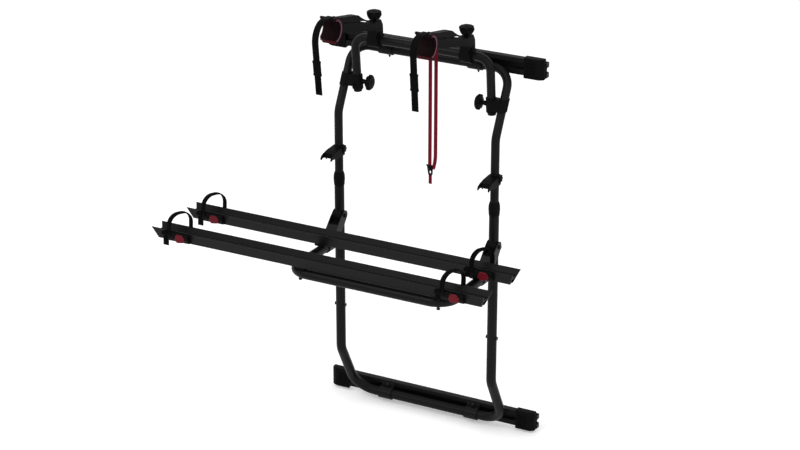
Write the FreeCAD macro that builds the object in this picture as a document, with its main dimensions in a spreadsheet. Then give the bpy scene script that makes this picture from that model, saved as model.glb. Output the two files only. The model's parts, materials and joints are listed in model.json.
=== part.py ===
"""Rear door bike carrier for a van.

Frame: X to the right along the door, Y towards the van, Z up, millimetres.
The origin is the middle of the lower rail's back face, where its rubber strip meets the door.
"""
import FreeCAD, Part
import math
import os

V = FreeCAD.Vector
doc = FreeCAD.newDocument("bike_carrier")
sheet = doc.addObject("Spreadsheet::Sheet", "Sizes")

SIZES = {
    # main frame
    "leg_span": 600,
    "leg_setback": 160,
    "lower_tube_dia": 35,
    "lower_bore_dia": 30.2,
    "upper_tube_dia": 30,
    "upper_bore_dia": 26,
    "lower_tube_top": 880,
    "lower_bend_height": 203,
    "lower_cross_height": -10,
    "lower_corner_radius": 80,
    "leg_bend_radius": 65,
    "upper_tube_bottom": 760,
    "upper_bend_height": 1127,
    "upper_cross_height": 1339,
    "upper_corner_radius": 65,
    "seat_gap": 0.3,
    # door rails
    "rail_length": 680,
    "rail_height": 60,
    "rail_front": 27,
    "rail_back": 3,
    "upper_rail_height": 1349,
    "pad_inset": 10,
    "pad_height": 44,
    "cap_end": 412,
    "cap_front_end": 396,
    "cap_top": 34.5,
    "cap_bottom": 39,
    "hook_height": 52,
    "hook_thickness": 4,
    "hook_end": 417,
    "hook_reach": 15,
    "hook_window": 20,
    "hook_drop": 8,
    "tube_clamp_width": 52,
    "upper_clamp_offset": 170,
    "lower_clamp_offset": 174,
    "clamp_wall": 4.5,
    # telescoping collars and the bolts through the legs
    "collar_bottom": 849,
    "collar_top": 898,
    "leg_bolt_height": 379,
    "bolt_dia": 8,
    # folding platform
    "pivot_height": 732,
    "pivot_to_arm": 91.15,
    "platform_slope": 4.26,
    "platform_tube_dia": 35,
    "platform_bore_dia": 31,
    "platform_corner_radius": 70,
    "arm_rear": 16,
    "cross_tube_reach": 365.8,
    "strut_half_width": 21.5,
    "strut_cheek_gap": 18.2,
    "sleeve_dia": 42,
    "sleeve_end": 106,
    # bike rails
    "rear_rail_reach": 134.15,
    "front_rail_reach": 365.95,
    "gutter_offset": -192,
    "gutter_length": 1280,
    "gutter_base_length": 1245,
    "gutter_base": 25,
    "gutter_height": 44,
    "gutter_width": 70,
    "gutter_foot": 30,
    "gutter_floor": 25,
    "front_post_offset": 262,
    # wheel straps
    "strap_left": -743,
    "strap_right": 313,
    "strap_skew": 55,
    "strap_shift": -3.5,
    "strap_width": 22,
    "strap_thickness": 3.4,
    "strap_crown": 60,
    "housing_length": 103,
    "button_offset": 31,
    "button_width": 40,
    "button_height": 30,
    "button_depth": 9,
    # front hoop and its clamps
    "hoop_inset": 44,
    "hoop_tube_dia": 30,
    "hoop_bore_dia": 26,
    "hoop_foot_height": 1189,
    "hoop_foot_depth": 96,
    "hoop_top_height": 1396,
    "hoop_top_depth": 117,
    "hoop_corner_radius": 47,
    "block_below_knob": 28,
    "block_above_knob": 24,
    "knob_dia": 55,
    "knob_height": 27,
    "arm_knob_height": 31,
    "frame_knob_inset": 31,
    "frame_knob_depth": 98,
    "frame_knob_height": 1226,
    # parking clips
    "clip_bottom": 965,
    "clip_top": 996,
    "clip_half_width": 21.3,
    "clip_gap": 17.9,
    # bike arms
    "arm_left_inset": 80,
    "arm_right_inset": 84,
    "arm_ring_width": 42,
    "liner_dia": 34,
    "saddle_reach": 327,
    "saddle_rise": 134,
    "saddle_radius": 37,
    "saddle_wall": 5.5,
    "saddle_width": 67,
    "saddle_shift": -9.5,
    "saddle_corner": 30,
    "arm_width": 34,
    "neck_height": 72,
    "neck_offset": 9,
    "jaw_strap_width": 24,
    "jaw_strap_thickness": 3,
    "running_gap": 0.1,
}
for row, (name, value) in enumerate(SIZES.items(), start=1):
    sheet.set("A%d" % row, name)
    sheet.set("B%d" % row, str(value))
    sheet.setAlias("B%d" % row, name)
doc.recompute()
NODES = []


def size(name):
    return float(sheet.get(name))


LEG_X = size("leg_span") / 2
LEG_Y = -size("leg_setback")
GAP = size("seat_gap")


# Outlines and sketches
def outline(points):
    """Edges of a closed outline; a third number in a point rounds that corner."""
    count = len(points)
    entries = []
    for index, point in enumerate(points):
        here = V(point[0], point[1], 0)
        radius = point[2] if len(point) > 2 else 0
        if not radius:
            entries.append((here, None, here))
            continue
        before = V(points[index - 1][0], points[index - 1][1], 0)
        after = V(points[(index + 1) % count][0], points[(index + 1) % count][1], 0)
        entries.append(rounded_corner(before, here, after, radius))
    return joined(entries, True)


def rounded_corner(before, here, after, radius):
    back = (before - here).normalize()
    ahead = (after - here).normalize()
    half = back.getAngle(ahead) / 2
    if abs(half - math.pi / 2) < 1e-6:
        return here, None, here
    length = radius / math.tan(half)
    start = here + back * length
    end = here + ahead * length
    middle = (back + ahead).normalize()
    centre = here + middle * (radius / math.sin(half))
    return start, centre - middle * radius, end


def joined(entries, closed):
    edges = []
    count = len(entries)
    for index, (start, middle, end) in enumerate(entries):
        if middle is not None:
            edges.append(Part.Arc(start, middle, end))
        if index == count - 1 and not closed:
            continue
        following = entries[(index + 1) % count][0]
        if end.distanceToPoint(following) > 1e-6:
            edges.append(Part.LineSegment(end, following))
    return edges


def new_body(label):
    body = doc.addObject("PartDesign::Body", label)
    body.Label = label
    NODES.append(body)
    return body


def new_sketch(body, role, loops, offset=0.0):
    sketch = body.newObject("Sketcher::SketchObject", "outline")
    plane = [item for item in body.Origin.OriginFeatures if item.Role == role][0]
    sketch.AttachmentSupport = [(plane, "")]
    sketch.MapMode = "FlatFace"
    sketch.AttachmentOffset = FreeCAD.Placement(V(0, 0, offset), FreeCAD.Rotation())
    for loop in loops:
        sketch.addGeometry(loop, False)
    return sketch


def pad(body, sketch, length, symmetric=True):
    feature = body.newObject("PartDesign::Pad", "pad")
    feature.Profile = sketch
    feature.SideType = "Symmetric" if symmetric else "One side"
    feature.setExpression("Length", length)
    return feature


def pocket(body, sketch, length, symmetric=True):
    feature = body.newObject("PartDesign::Pocket", "pocket")
    feature.Profile = sketch
    feature.SideType = "Symmetric" if symmetric else "One side"
    feature.setExpression("Length", length)
    return feature


def place(item, x="0", y="0", z="0", rotation=None):
    """Bind a body's place to the sheet."""
    if rotation is not None:
        item.Placement = FreeCAD.Placement(V(), rotation)
    item.setExpression("Placement.Base.x", x)
    item.setExpression("Placement.Base.y", y)
    item.setExpression("Placement.Base.z", z)


def circle(x, y, radius):
    return [Part.Circle(V(x, y, 0), V(0, 0, 1), radius)]


# Shapes made with Part functions
def solid(label, shape):
    feature = doc.addObject("Part::Feature", label)
    feature.Label = label
    feature.Shape = shape
    NODES.append(feature)
    return feature


def cylinder(radius, start, end):
    axis = end - start
    return Part.makeCylinder(radius, axis.Length, start, axis)


def box(x0, x1, y0, y1, z0, z1):
    return Part.makeBox(x1 - x0, y1 - y0, z1 - z0, V(x0, y0, z0))


def slab(points, half_width, x=0.0):
    """A side outline (Y, Z) given a width along X."""
    edges = [edge.toShape() for edge in outline(points)]
    face = Part.Face(Part.Wire(Part.__sortEdges__(edges)))
    face.rotate(V(), V(1, 1, 1), 120)
    face.translate(V(x - half_width, 0, 0))
    return face.extrude(V(2 * half_width, 0, 0))


def strip_outline(points, thickness):
    """The closed outline of a strip of even thickness along an open path."""
    sides = ([], [])
    count = len(points)
    for index, point in enumerate(points):
        here = V(point[0], point[1], 0)
        before = V(points[index - 1][0], points[index - 1][1], 0) if index else None
        after = V(points[index + 1][0], points[index + 1][1], 0) if index < count - 1 else None
        coming = (here - before).normalize() if before else (after - here).normalize()
        going = (after - here).normalize() if after else coming
        middle = (coming + going).normalize()
        left = V(-middle.y, middle.x, 0)
        reach = thickness / 2 / coming.dot(middle)
        turn = coming.x * going.y - coming.y * going.x
        for side, sign in ((0, 1), (1, -1)):
            corner = here + left * (reach * sign)
            radius = point[2] - sign * math.copysign(thickness / 2, turn) if len(point) > 2 else 0
            sides[side].append((corner.x, corner.y, radius))
    return sides[0] + sides[1][::-1]


def band(points, thickness, half_width, x=0.0):
    """A strap of even thickness along an open path in (Y, Z)."""
    return slab(strip_outline(points, thickness), half_width, x)


def spatial_path(corners):
    """A wire through corner points in space; each is (point, bend radius)."""
    rounded = [(corners[0][0], None, corners[0][0])]
    for index in range(1, len(corners) - 1):
        here, radius = corners[index]
        rounded.append(rounded_corner(corners[index - 1][0], here, corners[index + 1][0], radius))
    rounded.append((corners[-1][0], None, corners[-1][0]))
    return Part.Wire([edge.toShape() for edge in joined(rounded, False)])


def bent_tube(label, corners, outer, inner, holes=()):
    """A hollow tube swept along straight runs and tangent bends."""
    path = doc.addObject("Part::Feature", label + "_path")
    path.Shape = spatial_path(corners)
    direction = corners[1][0] - corners[0][0]
    sweeps = []
    for name, alias in (("outer", outer), ("inner", inner)):
        ring = doc.addObject("Part::Circle", label + "_" + name + "_ring")
        ring.setExpression("Radius", "Sizes.%s / 2" % alias)
        ring.Placement = FreeCAD.Placement(corners[0][0], FreeCAD.Rotation(V(0, 0, 1), direction))
        sweep = doc.addObject("Part::Sweep", label + "_" + name)
        sweep.Sections = [ring]
        sweep.Spine = (path, ["Edge%d" % (n + 1) for n in range(len(path.Shape.Edges))])
        sweep.Solid = True
        sweep.Frenet = False
        sweeps.append(sweep)
    tube = doc.addObject("Part::Cut", label + "_tube" if holes else label)
    tube.Base = sweeps[0]
    tube.Tool = sweeps[1]
    if holes:
        drills = doc.addObject("Part::Feature", label + "_drills")
        drills.Shape = Part.makeCompound(list(holes))
        drilled = doc.addObject("Part::Cut", label)
        drilled.Base = tube
        drilled.Tool = drills
        tube = drilled
    tube.Label = label
    NODES.append(tube)
    return tube


def loop_corners(half_span, foot, bend, cross, bend_radius, corner_radius):
    """Corners of an upright loop; foot, bend and cross are (Y, Z) places."""
    side = []
    side.append((V(-half_span, foot[0], foot[1]), 0))
    if bend:
        side.append((V(-half_span, bend[0], bend[1]), bend_radius))
    side.append((V(-half_span, cross[0], cross[1]), corner_radius))
    other = [(V(-point.x, point.y, point.z), radius) for point, radius in reversed(side)]
    return side + other


# Platform directions: reach runs outwards along the arms, lift is square to them
SLOPE = math.radians(size("platform_slope"))
REACH = V(0, -math.cos(SLOPE), math.sin(SLOPE))
LIFT = V(0, math.sin(SLOPE), math.cos(SLOPE))
PIVOT = V(0, LEG_Y, size("pivot_height"))
ARM_FOOT = PIVOT - LIFT * size("pivot_to_arm")
TILT = FreeCAD.Rotation(V(1, 0, 0), -size("platform_slope"))


def on_platform(x, reach, lift):
    return ARM_FOOT + REACH * reach + LIFT * lift + V(x, 0, 0)


def tilted(shape, x, reach, lift):
    """Set a shape drawn with -Y as reach and Z as lift onto the platform."""
    shape = shape.copy()
    shape.Placement = FreeCAD.Placement(on_platform(x, reach, lift), TILT).multiply(shape.Placement)
    return shape


# Lower frame tube with its drilled legs
lower_r = size("lower_tube_dia") / 2
lower_cross_y = -size("rail_front") - lower_r - GAP
leg_holes = []
bolt_r = size("bolt_dia") / 2
for side in (-1, 1):
    for height in (size("pivot_height"), size("leg_bolt_height")):
        middle = V(side * LEG_X, LEG_Y, height)
        leg_holes.append(cylinder(bolt_r + size("running_gap"), middle - V(30, 0, 0), middle + V(30, 0, 0)))
bent_tube(
    "lower_frame_tube",
    loop_corners(
        LEG_X,
        (LEG_Y, size("lower_tube_top")),
        (LEG_Y, size("lower_bend_height")),
        (lower_cross_y, size("lower_cross_height")),
        size("leg_bend_radius"),
        size("lower_corner_radius"),
    ),
    "lower_tube_dia",
    "lower_bore_dia",
    leg_holes,
)

# Upper frame tube sliding inside the lower legs
upper_r = size("upper_tube_dia") / 2
upper_cross_y = -size("rail_front") - upper_r - GAP
bent_tube(
    "upper_frame_tube",
    loop_corners(
        LEG_X,
        (LEG_Y, size("upper_tube_bottom")),
        (LEG_Y, size("upper_bend_height")),
        (upper_cross_y, size("upper_cross_height")),
        size("leg_bend_radius"),
        size("upper_corner_radius"),
    ),
    "upper_tube_dia",
    "upper_bore_dia",
)


# Door rails, rubber strips, end caps and hooks
def rail_profile():
    half = size("rail_height") / 2
    front = -size("rail_front")
    back = -size("rail_back")
    outer = [
        (back, -half, 1.5), (front, -half, 2), (front, -10, 0.8), (front + 2.5, -10), (front + 2.5, -13),
        (front + 13, -13), (front + 13, 17), (front + 2.5, 17), (front + 2.5, 14), (front, 14, 0.8),
        (front, half, 2), (back, half, 1.5),
    ]
    hollow = [(back - 2.5, -half + 3, 1), (back - 8.5, -half + 3, 1),
              (back - 8.5, half - 3, 1), (back - 2.5, half - 3, 1)]
    return [outline(outer), outline(hollow)]


def hook_plan():
    thick = size("hook_thickness")
    end = size("hook_end")
    reach = size("hook_reach")
    inner = 352
    return [
        (inner, -9), (end, -9, 5), (end, reach, 5), (end - 19, reach, 1), (end - 19, reach - thick, 1),
        (end - thick, reach - thick, 1.5), (end - thick, -9 + thick, 1.5), (inner, -9 + thick),
    ]


for level, height in (("lower", "0"), ("upper", "Sizes.upper_rail_height")):
    rail = new_body(level + "_rail")
    pad(rail, new_sketch(rail, "YZ_Plane", rail_profile()), "Sizes.rail_length")
    place(rail, z=height)

    strip = new_body(level + "_rail_pad")
    half = size("pad_height") / 2
    back = -size("rail_back")
    upper_edge = [(back, half), (-1, half), (0, half - 2), (0, 13), (-1, 12), (-1, 10), (0, 9)]
    strip_shape = upper_edge + [(y, -z) for y, z in reversed(upper_edge)]
    pad(strip, new_sketch(strip, "YZ_Plane", [outline(strip_shape)]), "Sizes.rail_length - 2 * Sizes.pad_inset")
    place(strip, z=height)

    start = size("rail_length") / 2 + GAP
    top = size("cap_top")
    bottom = -size("cap_bottom")
    blocks = []
    for side in (-1, 1):
        plan = [(start, -29.5), (size("cap_front_end"), -29.5, 9), (size("cap_end"), -20, 8),
                (size("cap_end"), -1.5, 4), (start, -1.5)]
        face = Part.Face(Part.Wire(Part.__sortEdges__([e.toShape() for e in outline(plan)])))
        face.translate(V(0, 0, bottom))
        block = face.extrude(V(0, 0, top - bottom))
        rims = [e for e in block.Edges if abs(e.BoundBox.ZLength) < 1e-6 and e.BoundBox.XMax > start + 1
                and e.CenterOfMass.y < -2]
        block = block.makeFillet(2.5, [e for e in rims if e.BoundBox.XMax > size("cap_front_end") - 12])
        slot_half = size("hook_height") / 2 + GAP
        drop = size("hook_drop")
        block = block.cut(box(start - 5, size("cap_end") + 5, -9 - GAP, -9 + size("hook_thickness") + GAP,
                              -drop - slot_half, -drop + slot_half))
        recess = box(start + 8, size("cap_front_end") - 14, -35, -27, -22, 22)
        ribs = [box(start + 6, size("cap_end"), -30, -26, z - 1.5, z + 1.5) for z in (-12, 0, 12)]
        for rib in ribs:
            recess = recess.cut(rib)
        block = block.cut(recess)
        for z in (bottom + 5, bottom + 10):
            block = block.cut(box(start - 5, size("cap_end") + 5, -35, -28.3, z, z + 2))
        if side < 0:
            block = block.mirror(V(), V(1, 0, 0))
        blocks.append(block)
    caps = solid(level + "_rail_caps", Part.makeCompound(blocks))
    place(caps, z=height)

    for name, side in (("left", -1), ("right", 1)):
        hook = new_body("door_hook_%s_%s" % (level, name))
        points = [(side * p[0],) + tuple(p[1:]) for p in hook_plan()]
        pad(hook, new_sketch(hook, "XY_Plane", [outline(points)]), "Sizes.hook_height")
        low = size("hook_end") - 9
        high = size("hook_end") + 5
        window = [(side * low, -size("hook_window") / 2), (side * high, -size("hook_window") / 2),
                  (side * high, size("hook_window") / 2), (side * low, size("hook_window") / 2)]
        pocket(hook, new_sketch(hook, "XZ_Plane", [outline(window)]), "60")
        place(hook, z=height + " - Sizes.hook_drop")


# Saddle clamps holding the cross tubes to the rails, and their screws
def saddle_clamp(tube_r, tube_y, tube_z, rail_z):
    inner = tube_r + GAP
    outer = tube_r + size("clamp_wall")
    face_y = -size("rail_front") - GAP
    tab_top = rail_z + 26
    block = slab([
        (face_y, tube_z - outer, 1), (tube_y, tube_z - outer, outer * 0.6), (tube_y - outer, tube_z - outer, outer),
        (tube_y - outer, tube_z + outer, outer), (face_y - 5, tube_z + outer, 1.5), (face_y - 4, tab_top, 2),
        (face_y, tab_top, 1),
    ], size("tube_clamp_width") / 2)
    bore = cylinder(inner, V(-40, tube_y, tube_z), V(40, tube_y, tube_z))
    slot = box(-40, 40, tube_y, face_y + 1, tube_z - inner, tube_z + inner)
    return block.cut(bore.fuse(slot))


def clamp_screws(x, tube_y, tube_z, rail_z, tube_r):
    face_y = -size("rail_front") - GAP - 5.1
    high = rail_z + 20
    head = cylinder(6, V(x, face_y - 5.5, high), V(x, face_y, high))
    head = head.makeFillet(1.5, [head.Edges[0]])
    low = rail_z - size("rail_height") / 2 - GAP
    nut = cylinder(6.5, V(x, -21, low - 5), V(x, -21, low))
    tip = Part.makeCone(2, 6.5, 12, V(x, -21, low - 17), V(0, 0, 1))
    return [head, nut.fuse(tip).removeSplitter()]


lower_clamps = []
upper_clamps = []
frame_screws = {"lower": [], "upper": []}
for side in (-1, 1):
    x = side * size("lower_clamp_offset")
    clamp = saddle_clamp(lower_r, lower_cross_y, size("lower_cross_height"), 0)
    clamp.translate(V(x, 0, 0))
    lower_clamps.append(clamp)
    frame_screws["lower"] += clamp_screws(x, lower_cross_y, size("lower_cross_height"), 0, lower_r)
    x = side * size("upper_clamp_offset")
    clamp = saddle_clamp(upper_r, upper_cross_y, size("upper_cross_height"), size("upper_rail_height"))
    clamp.translate(V(x, 0, 0))
    upper_clamps.append(clamp)
    frame_screws["upper"] += clamp_screws(x, upper_cross_y, size("upper_cross_height"),
                                          size("upper_rail_height"), upper_r)
solid("lower_tube_clamps", Part.makeCompound(lower_clamps))
solid("upper_tube_clamps", Part.makeCompound(upper_clamps))
solid("lower_clamp_screws", Part.makeCompound(frame_screws["lower"]))
solid("upper_clamp_screws", Part.makeCompound(frame_screws["upper"]))

# Collars at the tops of the lower legs
collar_low = size("collar_bottom")
collar_high = size("collar_top")
tube_top = size("lower_tube_top")
for name, side in (("left", -1), ("right", 1)):
    collar = new_body("collar_" + name)
    ring = [
        (lower_r + 0.05, collar_low), (lower_r + 1.3, collar_low, 0.5), (lower_r + 2.9, tube_top - 8, 4),
        (lower_r + 2.2, tube_top + 6, 4), (upper_r + 1.6, collar_high, 0.5), (upper_r + 0.1, collar_high),
        (upper_r + 0.1, tube_top + 0.2), (lower_r + 0.05, tube_top + 0.2),
    ]
    turned = collar.newObject("PartDesign::Revolution", "turned")
    turned.Profile = new_sketch(collar, "XZ_Plane", [outline(ring)])
    turned.ReferenceAxis = (turned.Profile[0], ["V_Axis"])
    turned.Angle = 360
    place(collar, "%d * Sizes.leg_span / 2" % side, "-Sizes.leg_setback")

# Bolts through the legs: the platform pivots and the lower cross bolts
pivot_bolts = []
cross_bolts = []
for side in (-1, 1):
    middle = V(side * LEG_X, LEG_Y, size("pivot_height"))
    shank = cylinder(bolt_r, middle - V(28, 0, 0), middle + V(28, 0, 0))
    for end in (-1, 1):
        head = cylinder(7, middle + V(end * 21.8, 0, 0), middle + V(end * 27.5, 0, 0))
        shank = shank.fuse(head)
    pivot_bolts.append(shank.removeSplitter())
    middle = V(side * LEG_X, LEG_Y, size("leg_bolt_height"))
    shank = cylinder(bolt_r, middle - V(20, 0, 0), middle + V(20, 0, 0))
    for end in (-1, 1):
        head = cylinder(6.5, middle + V(end * (lower_r + GAP), 0, 0), middle + V(end * (lower_r + 4), 0, 0))
        shank = shank.fuse(head)
    cross_bolts.append(shank.removeSplitter())
solid("leg_bolts", Part.makeCompound(pivot_bolts + cross_bolts))

# Caps on the fronts of the legs, inside the platform struts
pivot_caps = []
for side in (-1, 1):
    middle = V(side * LEG_X, LEG_Y, size("pivot_height"))
    barrel = cylinder(25, middle - V(16, 0, 0), middle + V(16, 0, 0))
    leg = cylinder(lower_r + 0.2, middle - V(0, 0, 40), middle + V(0, 0, 40))
    front = box(middle.x - 20, middle.x + 20, LEG_Y - 40, LEG_Y, middle.z - 40, middle.z + 40)
    pivot_caps.append(barrel.common(front).cut(leg))
solid("pivot_caps", Part.makeCompound(pivot_caps))

# Platform tube, drilled for the rail bolts
post_places = []
for side in (-1, 1):
    post_places.append((side * LEG_X, size("rear_rail_reach")))
    post_places.append((side * size("front_post_offset") + 7, size("front_rail_reach")))
arm_r = size("platform_tube_dia") / 2
post_holes = [cylinder(bolt_r + 0.1, on_platform(x, reach, -30), on_platform(x, reach, 30))
              for x, reach in post_places]
bent_tube(
    "platform_tube",
    [
        (on_platform(-LEG_X, size("arm_rear"), 0), 0),
        (on_platform(-LEG_X, size("cross_tube_reach"), 0), size("platform_corner_radius")),
        (on_platform(LEG_X, size("cross_tube_reach"), 0), size("platform_corner_radius")),
        (on_platform(LEG_X, size("arm_rear"), 0), 0),
    ],
    "platform_tube_dia",
    "platform_bore_dia",
    post_holes,
)

# Forked struts that hang the platform from the pivots
for name, side in (("left", -1), ("right", 1)):
    half = size("strut_half_width")
    x = side * LEG_X
    high = size("pivot_height")
    eye = cylinder(19, V(x - half, LEG_Y, high), V(x + half, LEG_Y, high))
    plate = slab([
        (LEG_Y - 12, high + 15, 6), (LEG_Y - 30, high + 1, 30), (LEG_Y - 68, high - 34, 30),
        (LEG_Y - 96, high - 50, 20), (LEG_Y - 110, high - 66, 4), (LEG_Y - 50, high - 76),
        (LEG_Y - 30, high - 54, 10), (LEG_Y - 4, high - 33, 12), (LEG_Y + 13, high - 13, 4),
        (LEG_Y + 10, high + 10),
    ], half, x)
    sleeve = cylinder(size("sleeve_dia") / 2, on_platform(x, size("arm_rear"), 0),
                      on_platform(x, size("sleeve_end"), 0))
    strut = eye.fuse([plate, sleeve])
    gap = size("strut_cheek_gap")
    strut = strut.cut(box(x - gap, x + gap, LEG_Y - 18.4, LEG_Y + 40, high - 60, high + 60))
    strut = strut.cut(box(x - gap, x + gap, LEG_Y - 140, LEG_Y + 40, high - 18.4, high + 60))
    strut = strut.cut(cylinder(arm_r + 0.05, on_platform(x, -40, 0), on_platform(x, 200, 0)))
    strut = strut.cut(cylinder(bolt_r + 0.1, V(x - 40, LEG_Y, high), V(x + 40, LEG_Y, high)))
    solid("platform_strut_" + name, strut.removeSplitter())

# Pads under the bike rails, and the rail bolts
spacers = []
rail_bolts = []
for x, reach in post_places:
    pad_block = box(-20, 20, -13, 13, arm_r + 0.1, size("gutter_base") - GAP)
    pad_block = pad_block.cut(cylinder(bolt_r + 0.2, V(0, 0, 0), V(0, 0, 40)))
    spacers.append(tilted(pad_block, x, reach, 0))
    shank = cylinder(bolt_r, V(0, 0, -24), V(0, 0, size("gutter_base") + 3.5))
    head = cylinder(7, V(0, 0, size("gutter_base") + 3.3), V(0, 0, size("gutter_base") + 8))
    nut = cylinder(6.5, V(0, 0, -22), V(0, 0, -arm_r - 0.2))
    rail_bolts.append(tilted(shank.fuse([head, nut]), x, reach, 0))
solid("bike_rail_pads", Part.makeCompound(spacers))
solid("bike_rail_bolts", Part.makeCompound(rail_bolts))


# Bike rails: open gutters with a hollow under the wheel floor
def gutter_profile():
    tall = size("gutter_height")
    wide = size("gutter_width") / 2
    foot = size("gutter_foot") / 2
    floor = size("gutter_floor")
    half = [
        (bolt_r + 0.3, 0), (foot, 0, 3), (wide - 2.2, tall - 5, 6), (wide, tall - 2, 0.8), (wide - 0.8, tall, 0.8),
        (wide - 3.4, tall, 0.8), (20.5, floor, 4),
    ]
    left = [(-p[0],) + tuple(p[1:]) for p in reversed(half)]
    hollow = [(-bolt_r - 0.3, 3), (-12.6, 3, 1), (-19.8, floor - 3.4, 1)]
    hollow += [(-p[0],) + tuple(p[1:]) for p in reversed(hollow)]
    return half + left + hollow


for name in ("rear", "front"):
    gutter = new_body(name + "_bike_rail")
    pad(gutter, new_sketch(gutter, "YZ_Plane", [outline(gutter_profile())]), "Sizes.gutter_length")
    long_half = size("gutter_length") / 2
    base_half = size("gutter_base_length") / 2
    for side in (-1, 1):
        slant = [(side * base_half, -0.5), (side * (long_half + 1), -0.5),
                 (side * (long_half + 1), size("gutter_height")), (side * long_half, size("gutter_height"))]
        pocket(gutter, new_sketch(gutter, "XZ_Plane", [outline(slant)]), "Sizes.gutter_width + 10")
    reach = size(name + "_rail_reach")
    gutter.Placement = FreeCAD.Placement(on_platform(size("gutter_offset"), reach, size("gutter_base")), TILT)


# Wheel straps, their buckles and release buttons
def wheel_strap(x, tail_end):
    """Drawn with the rail's base middle at the origin, -Y outwards."""
    wide = size("gutter_width") / 2
    tall = size("gutter_height")
    skew = size("strap_skew") / 2
    thick = size("strap_thickness")
    foot = wide + 7.6
    swing = math.degrees(math.atan2(skew, foot))
    span = math.hypot(skew, foot)
    crown = tall + size("strap_crown") - thick / 2
    arch = band([(-span, tall - 14), (-span, crown, span * 0.8), (span, crown, span * 0.8), (span, tall - 14)],
                thick, size("strap_width") / 2)
    arch.rotate(V(), V(0, 0, 1), -swing)
    tail = band([(-32.5, 24), (-32.5, tail_end)], thick, size("strap_width") / 2, -skew)
    hem = slab([(-31.2, 34.6), (-35.7, 39.7), (-46.5, 39.7, 2), (-46.5, 28, 6), (-30, 17), (-23.4, 17.5)],
               size("strap_width") / 2, -skew)
    anchor = slab([(31.2, 34.6), (35.7, 38.2), (45.5, 38.2, 2), (45.5, 24, 4), (30, 14, 3), (22, 14.6)],
                  size("strap_width") / 2 + 1, skew)
    strap = arch.fuse([tail, hem, anchor])
    strap.translate(V(x + size("strap_shift"), 0, 0))
    return strap.removeSplitter()


def housing(x):
    wide = size("gutter_width") / 2
    tall = size("gutter_height")
    start = size("strap_shift") - size("strap_skew") / 2 + size("strap_width") / 2 + GAP
    length = size("housing_length") - size("strap_width")
    block = slab([
        (-wide - 0.8, tall - 4, 1.5), (-wide - 9, tall - 5, 4), (-wide - 9, tall - 22, 8), (-wide + 1, 6, 6),
        (-19.5, 4, 2), (-17.5, 4.6), (-wide + 1.85, tall - 5),
    ], length / 2, start + length / 2)
    block.translate(V(x, 0, 0))
    return block


def teardrop(half_width, half_height, corner):
    return [(-half_width, -half_height * 0.35, corner), (-half_width * 0.5, -half_height, corner),
            (half_width * 0.75, -half_height * 0.75, corner * 0.8), (half_width, half_height * 0.3, corner * 0.8),
            (half_width * 0.45, half_height, corner), (-half_width * 0.75, half_height, corner)]


def button_solid(x, clearance, depth):
    """A button across the housing face, its front leaning with the wall."""
    points = teardrop(size("button_width") / 2 + clearance, size("button_height") / 2 + clearance, 7)
    face = Part.Face(Part.Wire(Part.__sortEdges__([e.toShape() for e in outline(points)])))
    face.rotate(V(), V(1, 0, 0), 90)
    shape = face.extrude(V(0, depth, 0))
    middle_z = size("gutter_height") / 2
    shape.translate(V(x + size("button_offset"), -size("gutter_width") / 2 - 12.5, middle_z))
    return shape


for name in ("rear", "front"):
    reach = size(name + "_rail_reach")
    housings = []
    for tag, alias in (("left", "strap_left"), ("right", "strap_right")):
        x = size(alias)
        base = size("gutter_base")
        tail_end = -14 if tag == "left" else 4
        solid("wheel_strap_%s_%s" % (name, tag), tilted(wheel_strap(x, tail_end), 0, reach, base))
        shell = housing(x).cut(button_solid(x, 0.4, 11 + 9))
        housings.append(tilted(shell, 0, reach, base))
        button = button_solid(x, 0, size("button_depth"))
        rim = [e for e in button.Edges if abs(e.CenterOfMass.y - button.BoundBox.YMin) < 1e-6]
        button = button.makeFillet(2, rim)
        solid("release_button_%s_%s" % (name, tag), tilted(button, 0, reach, base))
    solid(name + "_buckle_housings", Part.makeCompound(housings))

# Front hoop
hoop_x = LEG_X - size("hoop_inset")
hoop_foot = (-size("hoop_foot_depth"), size("hoop_foot_height"))
hoop_top = (-size("hoop_top_depth"), size("hoop_top_height"))
bent_tube(
    "front_hoop_tube",
    loop_corners(hoop_x, hoop_foot, None, hoop_top, 0, size("hoop_corner_radius")),
    "hoop_tube_dia",
    "hoop_bore_dia",
)

# Blocks that join the front hoop to the frame legs
hoop_r = size("hoop_tube_dia") / 2
knob_y = -size("frame_knob_depth")
knob_z = size("frame_knob_height")
block_low = knob_z - size("block_below_knob")
block_high = knob_z + size("block_above_knob")
for name, side in (("left", -1), ("right", 1)):
    low = V(side * LEG_X, LEG_Y, size("upper_bend_height"))
    high = V(side * LEG_X, upper_cross_y, size("upper_cross_height"))
    along = (high - low).normalize()
    leg = [low, low + along * 200]
    front = [V(side * hoop_x, *hoop_foot), V(side * hoop_x, *hoop_top)]
    rise = (front[1] - front[0]).normalize()
    front = [front[0] - rise * 40, front[0] + rise * 160]
    inner = min(side * (hoop_x + 4), side * (LEG_X - 2))
    outer = max(side * (hoop_x + 4), side * (LEG_X - 2))
    bridge = slab([
        (-128, block_low + 12, 6), (-80, block_low + 12, 6), (-78, block_high - 2, 6), (-112, block_high - 2, 6),
    ], (outer - inner) / 2, (outer + inner) / 2)
    leg_sleeve = cylinder(upper_r + 3, *leg).common(box(-400, 400, -200, 0, block_low + 14, block_high))
    hoop_sleeve = cylinder(hoop_r + 4.5, *front).common(box(-400, 400, -200, 0, block_low, block_high))
    block = leg_sleeve.fuse([hoop_sleeve, bridge])
    boss = cylinder(9, V(side * (hoop_x - 24), knob_y, knob_z), V(side * (hoop_x - 8), knob_y, knob_z))
    block = block.fuse(boss)
    block = block.cut(cylinder(upper_r + 0.05, leg[0] - along * 30, leg[1]))
    block = block.cut(cylinder(hoop_r + size("running_gap"), *front))
    block = block.cut(cylinder(4.2, V(side * (hoop_x - 30), knob_y, knob_z), V(side * hoop_x, knob_y, knob_z)))
    solid("frame_clamp_" + name, block.removeSplitter())


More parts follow.
